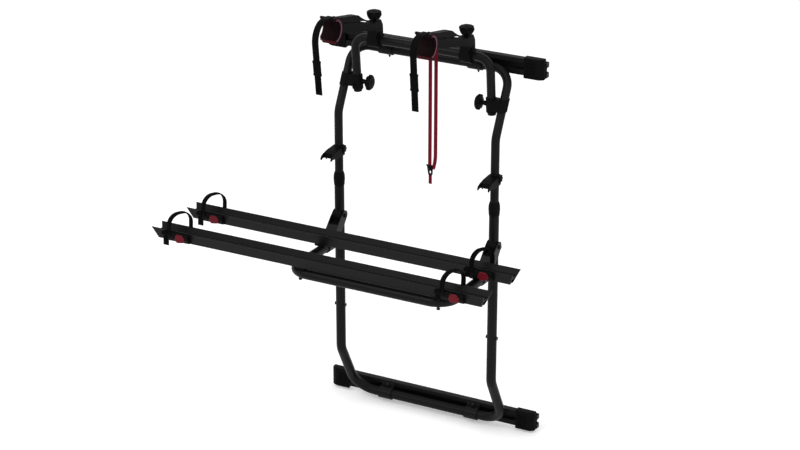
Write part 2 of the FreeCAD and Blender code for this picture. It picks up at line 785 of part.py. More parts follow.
# Star knobs
def star_knob(label, stem, stud, skirt, tall, bite, start):
    """A six-lobed knob; bite is how deep the scallops cut, start the first one's bearing."""
    knob = new_body(label)
    radius = size("knob_dia") / 2
    foot = [(0, -stem - stud), (4, -stem - stud, 0.6), (4, -stem), (8, -stem)]
    ring = foot + skirt + [
        (radius, tall - 6, 4), (radius - 6, tall - 1.5, 3), (9, tall - 1.5, 1), (8, tall, 0.6), (0, tall),
    ]
    turned = knob.newObject("PartDesign::Revolution", "turned")
    turned.Profile = new_sketch(knob, "XZ_Plane", [outline(ring)])
    turned.ReferenceAxis = (turned.Profile[0], ["V_Axis"])
    turned.Angle = 360
    centre = V(radius + 12 - bite, 0, 0)
    centre = FreeCAD.Rotation(V(0, 0, 1), start).multVec(centre)
    scallop = knob.newObject("PartDesign::Pocket", "scallop")
    scallop.Profile = new_sketch(knob, "XY_Plane", [circle(centre.x, centre.y, 12)])
    scallop.SideType = "Symmetric"
    scallop.Length = 200
    ring_of_six = knob.newObject("PartDesign::PolarPattern", "scallops")
    ring_of_six.Originals = [scallop]
    ring_of_six.Axis = ([i for i in knob.Origin.OriginFeatures if i.Role == "Z_Axis"][0], [""])
    ring_of_six.Angle = 360
    ring_of_six.Occurrences = 6
    knob.Tip = ring_of_six
    return knob


for name, side in (("left", -1), ("right", 1)):
    skirt = [(8, 4, 2), (14, 7, 2), (size("knob_dia") / 2, 10, 2)]
    knob = star_knob("frame_knob_" + name, 6.7, 9, skirt, size("knob_height"), 6, 0)
    turn = FreeCAD.Rotation(V(0, 1, 0), -90 * side)
    across = "%d * (Sizes.leg_span / 2 - Sizes.hoop_inset - Sizes.frame_knob_inset)" % side
    place(knob, across, "-Sizes.frame_knob_depth", "Sizes.frame_knob_height", turn)

# Parking clips: forks that hold the folded platform's arms
clip_low = size("clip_bottom")
clip_high = size("clip_top")
clip_screws = []
for name, side in (("left", -1), ("right", 1)):
    x = side * LEG_X
    fork = slab([
        (LEG_Y - 96.5, clip_low + 8), (LEG_Y - 98, clip_low + 15, 3), (LEG_Y - 92, clip_low + 22, 4),
        (LEG_Y - 80, clip_low + 26, 12), (LEG_Y - 50, clip_high - 0.5, 20), (LEG_Y, clip_high),
        (LEG_Y, clip_low), (LEG_Y - 42, clip_low, 8), (LEG_Y - 52, clip_low + 2), (LEG_Y - 57, clip_low - 3, 1.5),
        (LEG_Y - 64, clip_low + 7, 3), (LEG_Y - 84, clip_low + 11, 5),
    ], size("clip_half_width"), x)
    gap = size("clip_gap")
    fork = fork.cut(box(x - gap, x + gap, LEG_Y - 140, LEG_Y - 72.8, clip_low - 20, clip_high + 20))
    fork = fork.cut(box(x - gap, x + gap, LEG_Y - 69, LEG_Y - 24, clip_low - 20, clip_high - 7))
    ring = cylinder(upper_r + 6.2, V(x, LEG_Y, clip_low), V(x, LEG_Y, clip_high))
    lug = box(x + 14, x + 25.5, LEG_Y - 11, LEG_Y + 8.4, clip_low + 11, clip_high + 3)
    lug = lug.makeFillet(2, [e for e in lug.Edges if e.CenterOfMass.x > x + 20])
    clip = ring.fuse([fork, lug])
    clip = clip.cut(cylinder(upper_r + 0.05, V(x, LEG_Y, clip_low - 5), V(x, LEG_Y, clip_high + 5)))
    clip = clip.cut(box(x + 12, x + 40, LEG_Y - 4, LEG_Y - 2, clip_low - 5, clip_high + 10))
    screw_z = clip_low + 21
    drill = cylinder(3, V(x + 21, LEG_Y - 12.2, screw_z), V(x + 21, LEG_Y + 30, screw_z))
    seat = cylinder(4.5, V(x + 21, LEG_Y + 8.4, screw_z), V(x + 21, LEG_Y + 30, screw_z))
    clip = clip.cut(drill).cut(seat)
    solid("parking_clip_" + name, clip.removeSplitter())
    shank = cylinder(2.9, V(x + 21, LEG_Y - 12, screw_z), V(x + 21, LEG_Y + 9, screw_z))
    head = cylinder(4.2, V(x + 21, LEG_Y + 8.7, screw_z), V(x + 21, LEG_Y + 12.5, screw_z))
    clip_screws.append(shank.fuse(head).removeSplitter())
solid("clip_screws", Part.makeCompound(clip_screws))


# Bike arms, drawn about the hoop's top tube
def sector(inner, outer, half_width, lip=0.0):
    """A half ring open towards -Y, its middle at the origin."""
    ring = cylinder(outer, V(-half_width, 0, 0), V(half_width, 0, 0))
    ring = ring.cut(cylinder(inner, V(-half_width - 1, 0, 0), V(half_width + 1, 0, 0)))
    ring = ring.cut(box(-half_width - 1, half_width + 1, -outer - 1, 0, -outer - 1, outer + 1))
    if lip:
        for low, high in ((inner, outer), (-outer, -inner)):
            ring = ring.fuse(box(-half_width, half_width, -lip, 0, low, high))
    return ring.removeSplitter()


def free_corners(shape, proud=0.0):
    """Round a half ring's two corners at its left end, seen from above."""
    corner = size("saddle_corner")
    x = size("saddle_shift") - size("saddle_width") / 2 + corner
    y = corner - 4
    keep = Part.makeCylinder(corner + proud, 120, V(x, y, -60))
    return shape.cut(box(x - corner - 10, x, -12, y, -60, 60).cut(keep))


reach = -size("saddle_reach")
rise = size("saddle_rise")
saddle_in = size("saddle_radius")
saddle_out = saddle_in + size("saddle_wall")
ring_half = size("arm_ring_width") / 2
neck = size("neck_height")
liner_r = size("liner_dia") / 2
hinge = (reach + 57, rise + 20)


def arm_body():
    ring = cylinder(27.5, V(-ring_half, 0, 0), V(ring_half, 0, 0))
    neck_block = slab([
        (-25, 0), (-31, 40, 6), (-29, neck, 4), (11, neck, 8), (26, 48, 14), (28, 20, 10), (24, 0),
    ], 16)
    bar = slab([
        (4, 40), (-40, 44, 12), (-100, 62, 30), (-278, 113, 6), (reach + 35, rise - 22), (reach + 35, rise + 8),
        (-262, 138.5, 4), (-105, 96, 14), (-78, 83, 8), (-50, 73.5, 10), (4, 67),
    ], size("arm_width") / 2)
    saddle = sector(saddle_in, saddle_out, size("saddle_width") / 2, 4)
    saddle.translate(V(size("saddle_shift"), 0, 0))
    saddle = free_corners(saddle)
    saddle.translate(V(0, reach, rise))
    body = ring.fuse([neck_block, bar, saddle])
    for side in (-1, 1):
        ear = cylinder(9, V(side * 13.4, *hinge), V(side * 17, *hinge))
        root = slab([
            (hinge[0] - 9, rise - 4), (hinge[0] - 9, hinge[1]), (hinge[0] + 9, hinge[1]), (hinge[0] + 9, rise - 4),
        ], 1.8, side * 15.2)
        body = body.fuse([ear, root])
    body = body.fuse(cylinder(3, V(-16, *hinge), V(16, *hinge)))
    body = body.cut(cylinder(saddle_in, V(-60, reach, rise), V(60, reach, rise)))
    body = body.cut(cylinder(liner_r + size("running_gap"), V(-30, 0, 0), V(30, 0, 0)))
    body = body.cut(cylinder(4.2, V(0, -size("neck_offset"), 30), V(0, -size("neck_offset"), neck + 10)))
    return body.removeSplitter()


def lever_solid():
    lever = slab([
        (-280, 145, 6), (-280, 164, 9.9), (-244, 155.8, 20), (-203, 146.5, 20), (-171, 139.5, 20), (-148, 133, 15),
        (-126, 118, 15), (-100, 103, 10), (-72, 91.5, 1.5), (-74, 87, 1), (-110, 101.5, 10), (-256, 139, 4),
        (-264, 142.5, 4),
    ], 13)
    return lever.cut(cylinder(3.1, V(-30, *hinge), V(30, *hinge)))


def lining_solid():
    half = size("saddle_width") / 2 + 1.5
    lining = sector(saddle_in - 3.4, saddle_in - GAP, half, 4)
    for low, high in ((saddle_in - 3.4, saddle_out + 1.5), (-saddle_out - 1.5, -saddle_in + 3.4)):
        lining = lining.fuse(box(-half, half, -7.5, -4.3, low, high))
    lining.translate(V(size("saddle_shift"), 0, 0))
    lining = free_corners(lining, 3.5)
    lining.translate(V(0, reach, rise))
    return lining.removeSplitter()


def jaw_strap_solid(top_y, low_y, bottom, sleeve_low, sleeve_high):
    thick = size("jaw_strap_thickness")
    top = rise + saddle_out + 1.5 + GAP + thick / 2 - 8 * 14 / (reach + 8 - top_y)
    bend = 0.55 * (reach - top_y)
    strap = band([(reach + 8, top), (top_y, top + 8, bend), (low_y, bottom)],
                 thick, size("jaw_strap_width") / 2)
    sleeve = box(-15, 15, -3.5, 3.5, sleeve_low - bottom, sleeve_high - bottom)
    sleeve = sleeve.makeFillet(1.5, sleeve.Edges)
    sleeve.rotate(V(), V(1, 0, 0), math.degrees(math.atan2(low_y - top_y, top + 8 - bottom)))
    sleeve.translate(V(0, low_y, bottom))
    return strap.fuse(sleeve).removeSplitter()


hoop_axis = V(0, -size("hoop_top_depth"), size("hoop_top_height"))
arm_x = {"left": size("arm_left_inset") - hoop_x, "right": hoop_x - size("arm_right_inset")}
drops = {"left": (-436, -406, -66.5, 4, 58), "right": (-418, -397, -67.7, 5, 66)}
for name in ("left", "right"):
    middle = hoop_axis + V(arm_x[name], 0, 0)

    def moved(shape):
        shape.translate(middle)
        return shape

    half = ring_half + 2.4
    liner = cylinder(liner_r, V(-half, 0, 0), V(half, 0, 0))
    for side in (-1, 1):
        liner = liner.fuse(cylinder(21.5, V(side * (ring_half + 0.2), 0, 0), V(side * half, 0, 0)))
    liner = liner.cut(cylinder(hoop_r + size("running_gap"), V(-40, 0, 0), V(40, 0, 0)))
    solid("arm_liner_" + name, moved(liner.removeSplitter()))
    solid("bike_arm_" + name, moved(arm_body()))
    solid("jaw_lining_" + name, moved(lining_solid()))
    solid("jaw_lever_" + name, moved(lever_solid()))
    solid("jaw_strap_" + name, moved(jaw_strap_solid(*drops[name])))
    skirt = [(8, 1, 1.5), (20, 4, 2), (size("knob_dia") / 2, 18, 4)]
    knob = star_knob("arm_knob_" + name, 3, 30, skirt, size("arm_knob_height"), 8, 30)
    sign = -1 if name == "left" else 1
    across = "%d * (Sizes.leg_span / 2 - Sizes.hoop_inset - Sizes.arm_%s_inset)" % (sign, name)
    place(knob, across, "-Sizes.hoop_top_depth - Sizes.neck_offset",
          "Sizes.hoop_top_height + Sizes.neck_height + 3.3")

# Security webbing hanging from the right jaw
def upright(points, half_thickness):
    """A flat piece facing -Y under the right arm, from an outline in X and Z."""
    face = Part.Face(Part.Wire(Part.__sortEdges__([e.toShape() for e in outline(points)])))
    face.rotate(V(), V(1, 0, 0), 90)
    face.translate(middle + V(0, reach + 56 - half_thickness, 0))
    return face.extrude(V(0, 2 * half_thickness, 0))


middle = hoop_axis + V(arm_x["right"], 0, 0)
web_top = 110.5
strands = [
    upright([(-14.2, web_top), (-1.2, web_top), (-1.2, -300.7), (-14.2, -300.7)], 0.8),
    upright([(6.2, web_top), (19.4, web_top), (19.6, -270, 14), (9, -316, 4), (3.4, -318), (3.4, -300), (6.4, -276, 8)],
            0.8),
    upright([(-11.2, -338.8), (-0.2, -338.8), (-0.2, -369.6), (-11.2, -369.6)], 1.5),
]
solid("webbing_strands", Part.makeCompound(strands))
buckle = upright([
    (-15, -301, 2), (2, -301, 2), (3, -314, 4), (1, -338.5, 2), (-11.5, -338.5, 3), (-18, -322, 4), (-18, -310, 3),
], 4.5)
buckle = buckle.fuse(upright([(-15, -303), (-15, -307), (-21, -304, 1), (-20, -300.5, 1)], 2))
solid("webbing_buckle", buckle.removeSplitter())

# Check everything, then export each node
doc.recompute()
for item in doc.Objects:
    if "Invalid" in item.State or "Error" in item.State:
        raise RuntimeError("%s did not recompute" % item.Label)
for node in NODES:
    if node.Shape.isNull() or not node.Shape.isValid() or node.Shape.Volume <= 0:
        raise RuntimeError("%s has no sound shape" % node.Label)
os.makedirs("parts", exist_ok=True)
for node in NODES:
    node.Shape.exportStep("parts/%s.step" % node.Label)
print(len(NODES), "nodes")
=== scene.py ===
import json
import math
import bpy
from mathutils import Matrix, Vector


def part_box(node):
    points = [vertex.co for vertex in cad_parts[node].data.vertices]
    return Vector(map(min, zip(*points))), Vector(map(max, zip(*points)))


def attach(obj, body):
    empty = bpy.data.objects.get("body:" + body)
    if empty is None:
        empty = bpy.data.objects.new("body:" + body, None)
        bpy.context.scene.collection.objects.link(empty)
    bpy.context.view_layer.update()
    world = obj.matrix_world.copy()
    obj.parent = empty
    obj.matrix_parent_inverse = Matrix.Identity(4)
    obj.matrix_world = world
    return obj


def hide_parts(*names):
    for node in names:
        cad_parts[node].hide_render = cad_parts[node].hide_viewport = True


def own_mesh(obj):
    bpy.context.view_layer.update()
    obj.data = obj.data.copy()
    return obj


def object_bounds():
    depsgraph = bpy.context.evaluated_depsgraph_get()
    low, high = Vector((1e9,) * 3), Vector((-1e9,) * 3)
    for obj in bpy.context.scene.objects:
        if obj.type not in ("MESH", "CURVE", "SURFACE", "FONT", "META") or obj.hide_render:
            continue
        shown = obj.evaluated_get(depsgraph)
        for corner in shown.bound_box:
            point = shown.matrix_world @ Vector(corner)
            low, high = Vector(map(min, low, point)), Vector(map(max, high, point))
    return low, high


bl_info = {
    "name": "Rear door bike carrier",
    "version": (1, 0, 0),
    "blender": (4, 5, 0),
    "location": "3D View > Sidebar > Bike Carrier",
    "description": "Dresses the packed bike carrier with straps, jaw linings, webbing and finishes",
    "category": "Object",
}

import bpy
from bpy.props import (
    FloatProperty, FloatVectorProperty, IntProperty, PointerProperty, StringProperty)
from bpy.types import Operator, Panel, PropertyGroup
from mathutils import Matrix, Vector

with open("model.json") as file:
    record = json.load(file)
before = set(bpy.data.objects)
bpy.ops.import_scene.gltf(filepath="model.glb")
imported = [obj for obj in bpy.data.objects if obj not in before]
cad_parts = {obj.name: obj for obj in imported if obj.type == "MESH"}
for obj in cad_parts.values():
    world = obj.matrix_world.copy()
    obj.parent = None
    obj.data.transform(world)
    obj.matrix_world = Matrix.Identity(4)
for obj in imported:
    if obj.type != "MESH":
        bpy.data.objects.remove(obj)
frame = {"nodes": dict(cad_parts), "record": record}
cad_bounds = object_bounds()

ROWS = ("rear", "front")
SIDES = ("left", "right")

# The platform's slope and the places of its two bike rails
SLOPE = math.radians(4.26)
REACH = Vector((0, -math.cos(SLOPE), math.sin(SLOPE)))
LIFT = Vector((0, math.sin(SLOPE), math.cos(SLOPE)))
ARM_FOOT = Vector((0, -0.160, 0.732)) - LIFT * 0.09115
RAIL_REACH = {"rear": 0.13415, "front": 0.36595}
RAIL_BASE = 0.025
RAIL_HALF_WIDTH = 0.035
RAIL_HEIGHT = 0.044

# The wheel straps. Each arch springs from its buckle at ARCH_START along X
# and lands at STRAP_SKEW on the van side
STRAP_X = {"left": -0.743, "right": 0.313}
STRAP_SKEW = 0.0275
STRAP_SHIFT = -0.0035
ARCH_START = -0.0110
ARCH_GAP = 0.0076
ARCH_DEPTH = 0.013
ARCH_BEND = 0.86
STRAP_BEVEL = 0.0008
RIBS_BEGIN = 0.018
RIBS_STOP = 0.02
TAIL_Y = -0.0325
TAIL_TOP = 0.024
STRAP_TAIL_END = {"left": -0.014, "right": 0.004}
ANCHOR_SIDE = 0.001
# Outlines of the two end mouldings, as places across the rail and heights over its foot.
# A corner's third number is its radius
HEM = [(-0.0312, 0.0346), (-0.0357, 0.0397), (-0.0465, 0.0397, 0.002), (-0.0465, 0.028, 0.006),
       (-0.030, 0.017, 0.003), (-0.0234, 0.0175)]
ANCHOR = [(0.0312, 0.0346), (0.0357, 0.0382), (0.0455, 0.0382, 0.002), (0.0455, 0.024, 0.004),
          (0.030, 0.014, 0.003), (0.022, 0.0146)]

# The bike arms turn on the front hoop's top tube
HOOP_TOP = Vector((0, -0.117, 1.396))
ARM_X = {"left": -0.176, "right": 0.172}
SADDLE = Vector((0, -0.327, 0.134))
SADDLE_RADIUS = 0.037
SADDLE_WALL = 0.0055
SADDLE_HALF_WIDTH = 0.0335
SADDLE_SHIFT = -0.0095
SADDLE_CORNER = 0.030
LINING_PROUD = 0.0035
LINING_GAP = 0.0003
LINING_STEPS = 40
# How far the lining stands past the saddle's ends and lips, and its flanges stop short of the outside
LINING_EDGE = 0.0015
LIP_Y = (-0.0075, -0.0042)
GRIP_SPREAD = 78  # degrees that the grip ribs reach to each side of the jaw's middle

# The door rails' rubber strips
UPPER_RAIL_HEIGHT = 1.349
STRIP_RIBS = 7
STRIP_DEPTH = 0.003
STRIP_EDGE = 0.0012
STRIP_GROOVE = 0.0009
# One rib's corners, as shares of its pitch and their depths
STRIP_STEPS = ((-0.46, -STRIP_GROOVE), (-0.3, 0.0), (0.3, 0.0), (0.46, -STRIP_GROOVE))

# The jaw straps: the Y of the peak and of the low end, the low end's height,
# and the heights of the sleeve's two ends
JAW_DROPS = {
    "left": (-0.436, -0.406, -0.0665, 0.004, 0.058),
    "right": (-0.418, -0.397, -0.0677, 0.005, 0.066),
}
JAW_STRAP_RISE = 0.008
JAW_RIB_PITCH = 0.0042
SLEEVE_HALF_WIDTH = 0.0150
SLEEVE_WAIST = 0.0138
SLEEVE_HALF_DEPTH = 0.0035

# The security webbing, in heights from the hoop's axis
WEBBING_OUT = 0.056
WEBBING_TOP = 0.1105
LEFT_STRAND_END = -0.304
RIGHT_STRAND_END = -0.316
LEFT_STRAND_X = -0.0077
RIGHT_STRAND_X = 0.0129
STRAND_STEPS = 48
STRAND_SWAY = 0.0006
DRAW_IN_FROM = -0.262
DRAW_IN_LENGTH = 0.054
DRAW_IN = 0.0085
TAIL_X = -0.0057
TAIL_LAYER = 0.00085
TAIL_NARROWING = 11 / 13
STITCH_ROWS = 4
STITCH_PITCH = 0.004
LOWEST_STITCH = -0.364
BUCKLE_LOW, BUCKLE_HIGH = -0.3385, -0.301
# The X of each cheek's top and bottom, and the height, depth and two ends of each bar
BUCKLE_CHEEKS = ((-0.0175, -0.0112), (-0.0005, -0.0022))
BUCKLE_BARS = ((BUCKLE_HIGH - 0.0065, 0.0075, -0.0165, 0.0015), (-0.3225, 0.0060, -0.0145, 0.0005),
               (BUCKLE_LOW + 0.001, 0.0065, -0.0105, -0.0005))
BAR_HEIGHT = 0.0048

# Strength of the world's light, and how far the floor is lifted towards white where it shows
WORLD_LIGHT = 0.78
FLOOR_LIFT = 0.25
FLOOR_SIZE = 60
FLOOR_GAP = 0.001
LIGHT_AIM = Vector((0, -0.25, 0.75))
LIGHT_SIZE = 3.0
FILL_SHARE = 0.3
SENSOR_WIDTH = 36
CLIP_END = 200

# Edges sharper than the bevel's angle are rounded, and faces are shaded smooth up to the others
BEVEL_ANGLE = math.radians(30)
SMOOTH_ANGLE = math.radians(35)
FRAME_SMOOTH_ANGLE = math.radians(28)
MERGE_DISTANCE = 0.00001
SWAP_XY = Matrix(((0, 1, 0, 0), (1, 0, 0, 0), (0, 0, 1, 0), (0, 0, 0, 1)))

# A wave texture of scale 1 has this many radians to the metre
WAVE_RADIANS = 20
WEFT_TO_WARP = 0.6


# Small helpers for working as by hand

def deselect():
    """Go back to object mode with nothing selected."""
    if bpy.context.object and bpy.context.object.mode != "OBJECT":
        bpy.ops.object.mode_set(mode="OBJECT")
    bpy.ops.object.select_all(action="DESELECT")


def take(piece):
    """Make one piece the selected and active one."""
    deselect()
    piece.select_set(True)
    bpy.context.view_layer.objects.active = piece
    return piece


def named(name):
    """Name the piece that was just made, and its mesh or data."""
    piece = bpy.context.object
    piece.name = name
    piece.data.name = name
    return piece


def select_vertices(piece, wanted):
    """Leave edit mode with only the wanted vertices selected, then go back in."""
    bpy.ops.object.mode_set(mode="OBJECT")
    for part in (piece.data.polygons, piece.data.edges):
        for item in part:
            item.select = False
    for vertex in piece.data.vertices:
        vertex.select = wanted(vertex)
    for edge in piece.data.edges:
        edge.select = all(piece.data.vertices[v].select for v in edge.vertices)
    bpy.ops.object.mode_set(mode="EDIT")


def finish_with(piece, kind, **settings):
    """Add a modifier and apply it."""
    take(piece)
    modifier = piece.modifiers.new(kind.title(), kind)
    for key, value in settings.items():
        setattr(modifier, key, value)
    bpy.ops.object.modifier_apply(modifier=modifier.name)
    return piece


def soften(piece, width):
    """Round the sharp edges and shade the rest smooth."""
    finish_with(piece, "BEVEL", width=width, segments=2, limit_method="ANGLE",
                angle_limit=BEVEL_ANGLE, harden_normals=False)
    bpy.ops.object.shade_smooth_by_angle(angle=SMOOTH_ANGLE)
    return piece


def outward(piece):
    """Merge doubled vertices and turn every face outwards."""
    take(piece)
    bpy.ops.object.mode_set(mode="EDIT")
    bpy.ops.mesh.select_all(action="SELECT")
    bpy.ops.mesh.remove_doubles(threshold=MERGE_DISTANCE)
    bpy.ops.mesh.normals_make_consistent(inside=False)
    bpy.ops.object.mode_set(mode="OBJECT")
    return piece


def join(name, pieces):
    """Several pieces made one."""
    take(pieces[0])
    for piece in pieces[1:]:
        piece.select_set(True)
    if len(pieces) > 1:
        bpy.ops.object.join()
    return named(name)


def copy_of(piece, matrix):
    """A copy with its own mesh, moved."""
    twin = piece.copy()
    twin.data = piece.data.copy()
    twin.data.transform(matrix)
    bpy.context.scene.collection.objects.link(twin)
    return twin


def settle(piece, matrix):
    """Put the piece's place into its mesh, with the object at the origin."""
    piece.data.transform(matrix @ piece.matrix_world)
    piece.matrix_world = Matrix.Identity(4)
    if matrix.determinant() < 0:
        outward(piece)
    return piece


def band(name, route, width, thickness, bevel):
    """A flat strap: its edge lies across X at each point of a route in the YZ plane."""
    deselect()
    bpy.ops.mesh.primitive_plane_add(size=1)
    strap = named(name)
    first, second = route[0], route[1]
    for vertex in strap.data.vertices:
        place = first if vertex.co.y < 0 else second
        vertex.co = (math.copysign(width / 2, vertex.co.x), place[0], place[1])
    bpy.ops.object.mode_set(mode="EDIT")
    select_vertices(strap, lambda v: abs(v.co.y - second[0]) + abs(v.co.z - second[1]) < 1e-6)
    for before, after in zip(route[1:], route[2:]):
        bpy.ops.mesh.extrude_region_move(
            TRANSFORM_OT_translate={"value": (0, after[0] - before[0], after[1] - before[1])})
    bpy.ops.object.mode_set(mode="OBJECT")
    outward(strap)
    finish_with(strap, "SOLIDIFY", thickness=thickness, offset=0, use_even_offset=True)
    return soften(strap, bevel)


def block(name, outline, x_low, x_high, bevel):
    """An outline in the YZ plane, extruded along X and with its edges rounded."""
    deselect()
    bpy.ops.mesh.primitive_circle_add(vertices=len(outline), radius=1, fill_type="NGON")
    solid = named(name)
    for vertex, (y, z) in zip(solid.data.vertices, outline):
        vertex.co = (x_low, y, z)
    bpy.ops.object.mode_set(mode="EDIT")
    bpy.ops.mesh.select_all(action="SELECT")
    bpy.ops.mesh.extrude_region_move(TRANSFORM_OT_translate={"value": (x_high - x_low, 0, 0)})
    bpy.ops.object.mode_set(mode="OBJECT")
    outward(solid)
    return soften(solid, bevel)


def rounded(points, steps):
    """A route or outline with corners turned into arcs. A corner's third number is its radius."""
    route = []
    for index, point in enumerate(points):
        radius = point[2] if len(point) > 2 else 0
        if not radius or index in (0, len(points) - 1):
            route.append((point[0], point[1]))
            continue
        corner = Vector(point[:2])
        back = (Vector(points[index - 1][:2]) - corner).normalized()
        ahead = (Vector(points[index + 1][:2]) - corner).normalized()
        half = back.angle(ahead) / 2
        centre = corner + (back + ahead).normalized() * radius / math.sin(half)
        start = corner + back * radius / math.tan(half) - centre
        end = corner + ahead * radius / math.tan(half) - centre
        sweep = start.angle_signed(end)
        count = max(2, round(abs(sweep) / math.pi * 2 * steps))
        for step in range(count + 1):
            turned = start.copy()
            turned.rotate(Matrix.Rotation(-sweep * step / count, 2))
            route.append(tuple(centre + turned))
    return route


def length_of(route):
    """The length of a route from point to point."""
    return sum((Vector(b) - Vector(a)).length for a, b in zip(route, route[1:]))


def along(route, spacing, start, end):
    """Places and directions at even spacing on a route, between two distances."""
    found = []
    travelled = 0.0
    target = start
    for before, after in zip(route, route[1:]):
        a, b = Vector(before), Vector(after)
        length = (b - a).length
        while length and target <= travelled + length and target <= end:
            found.append((a + (b - a) * (target - travelled) / length, (b - a) / length))
            target += spacing
        travelled += length
    return found


def ratchet_ribs(name, route, spacing, start, end, width, height, offset):
    """One rib, modelled once and copied along a strap."""
    rib = block(name, [(-0.0007, 0), (0.0011, 0), (0.0009, height), (-0.0002, height)],
                -width / 2, width / 2, 0.0002)
    ribs = []
    for place, direction in along(route, spacing, start, end):
        across = Vector((-direction.y, direction.x))
        turn = Matrix(((1, 0, 0, 0), (0, direction.x, across.x, place.x + across.x * offset),
                       (0, direction.y, across.y, place.y + across.y * offset), (0, 0, 0, 1)))
        ribs.append(copy_of(rib, turn))
    bpy.data.objects.remove(rib)
    return join(name, ribs)


def on_rail(row, x):
    """From a bike rail's own axes, outwards, up and along, to the part's frame."""
    base = ARM_FOOT + REACH * RAIL_REACH[row] + LIFT * RAIL_BASE + Vector((x, 0, 0))
    return Matrix(((1, 0, 0, base.x), (0, -REACH.y, LIFT.y, base.y), (0, -REACH.z, LIFT.z, base.z),
                   (0, 0, 0, 1)))


# Finishes

def linear(hex_colour):
    """An sRGB hex colour as Blender's linear one."""
    parts = [int(hex_colour[i:i + 2], 16) / 255 for i in (1, 3, 5)]
    return tuple(c / 12.92 if c <= 0.04045 else ((c + 0.055) / 1.055) ** 2.4
                 for c in parts) + (1.0,)


def node(tree, kind, values=(), links=(), **settings):
    """One shader node with its settings, its values and what feeds it."""
    made = tree.nodes.new(kind)
    for key, value in settings.items():
        setattr(made, key, value)
    for socket, value in values:
        made.inputs[socket].default_value = value
    for socket, source in links:
        tree.links.new(source, made.inputs[socket])
    return made


def shaded(colour, factor):
    """A linear colour made darker or lighter."""
    return tuple(min(1.0, c * factor) for c in colour[:3]) + (1.0,)


def two_tone(tree, factor, low, high, start=0.35, end=0.65):
    """A ramp between two colours, fed by a factor."""
    ramp = node(tree, "ShaderNodeValToRGB", links=[("Fac", factor)])
    ramp.color_ramp.elements[0].position = start
    ramp.color_ramp.elements[0].color = low
    ramp.color_ramp.elements[1].position = end
    ramp.color_ramp.elements[1].color = high
    return ramp.outputs["Color"]


def finish(name, colour, roughness, grain, depth, shade=0.12, rough_spread=0.08, stretch=(1, 1, 1),
           **shader):
    """A surface with a grain of a real size, a slight change of tone and an uneven gloss."""
    material = bpy.data.materials.new(name)
    material.use_nodes = True
    tree = material.node_tree
    principled = tree.nodes["Principled BSDF"]
    for socket, value in shader.items():
        principled.inputs[socket.replace("_", " ")].default_value = value
    place = node(tree, "ShaderNodeTexCoord").outputs["Object"]
    scaled = node(tree, "ShaderNodeMapping", values=[("Scale", stretch)], links=[("Vector", place)])
    fine = node(tree, "ShaderNodeTexNoise",
                values=[("Scale", 1 / grain), ("Detail", 3.0), ("Roughness", 0.6)],
                links=[("Vector", scaled.outputs["Vector"])])
    broad = node(tree, "ShaderNodeTexNoise", values=[("Scale", 9.0), ("Detail", 4.0)],
                 links=[("Vector", place)])
    base = linear(colour)
    tone = two_tone(tree, broad.outputs["Fac"], shaded(base, 1 - shade), shaded(base, 1 + shade))
    tree.links.new(tone, principled.inputs["Base Color"])
    gloss = node(tree, "ShaderNodeMapRange", values=[("To Min", roughness - rough_spread),
                                                     ("To Max", roughness + rough_spread)],
                 links=[("Value", fine.outputs["Fac"])])
    tree.links.new(gloss.outputs["Result"], principled.inputs["Roughness"])
    bump = node(tree, "ShaderNodeBump", values=[("Strength", 0.6), ("Distance", depth)],
                links=[("Height", fine.outputs["Fac"])])
    tree.links.new(bump.outputs["Normal"], principled.inputs["Normal"])
    return material


def woven(name, colour, thread):
    """Flat polyester webbing: rows of warp threads crossed by the weft."""
    material = finish(name, colour, 0.8, 0.004, 0.0001, shade=0.2, Sheen_Weight=0.03,
                      Specular_IOR_Level=0.03)
    tree = material.node_tree
    principled = tree.nodes["Principled BSDF"]
    place = node(tree, "ShaderNodeTexCoord").outputs["Object"]
    bands = 2 * math.pi / (WAVE_RADIANS * thread)
    warp = node(tree, "ShaderNodeTexWave", values=[("Scale", bands)], links=[("Vector", place)],
                wave_type="BANDS", bands_direction="X")
    weft = node(tree, "ShaderNodeTexWave",
                values=[("Scale", bands * WEFT_TO_WARP), ("Distortion", 0.4)],
                links=[("Vector", place)], wave_type="BANDS", bands_direction="DIAGONAL")
    weave = node(tree, "ShaderNodeMath", links=[(0, warp.outputs["Fac"]), (1, weft.outputs["Fac"])],
                 operation="MULTIPLY")
    base = linear(colour)
    tone = two_tone(tree, weave.outputs["Value"], shaded(base, 0.55), base, 0.0, 0.7)
    tree.links.new(tone, principled.inputs["Base Color"])
    bump = node(tree, "ShaderNodeBump", values=[("Strength", 0.8), ("Distance", 0.0004)],
                links=[("Height", weave.outputs["Value"])])
    tree.links.new(bump.outputs["Normal"], principled.inputs["Normal"])
    return material


def wear(piece, material):
    """Give a piece one material in place of any it has."""
    piece.data.materials.clear()
    piece.data.materials.append(material)


def place_piece(piece, body, material, stands_for=()):
    """Tie a finished piece to its body and the solids that it takes the place of."""
    wear(piece, material)
    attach(piece, body)
    if stands_for:
        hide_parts(*stands_for)
    return piece


# What a user would change

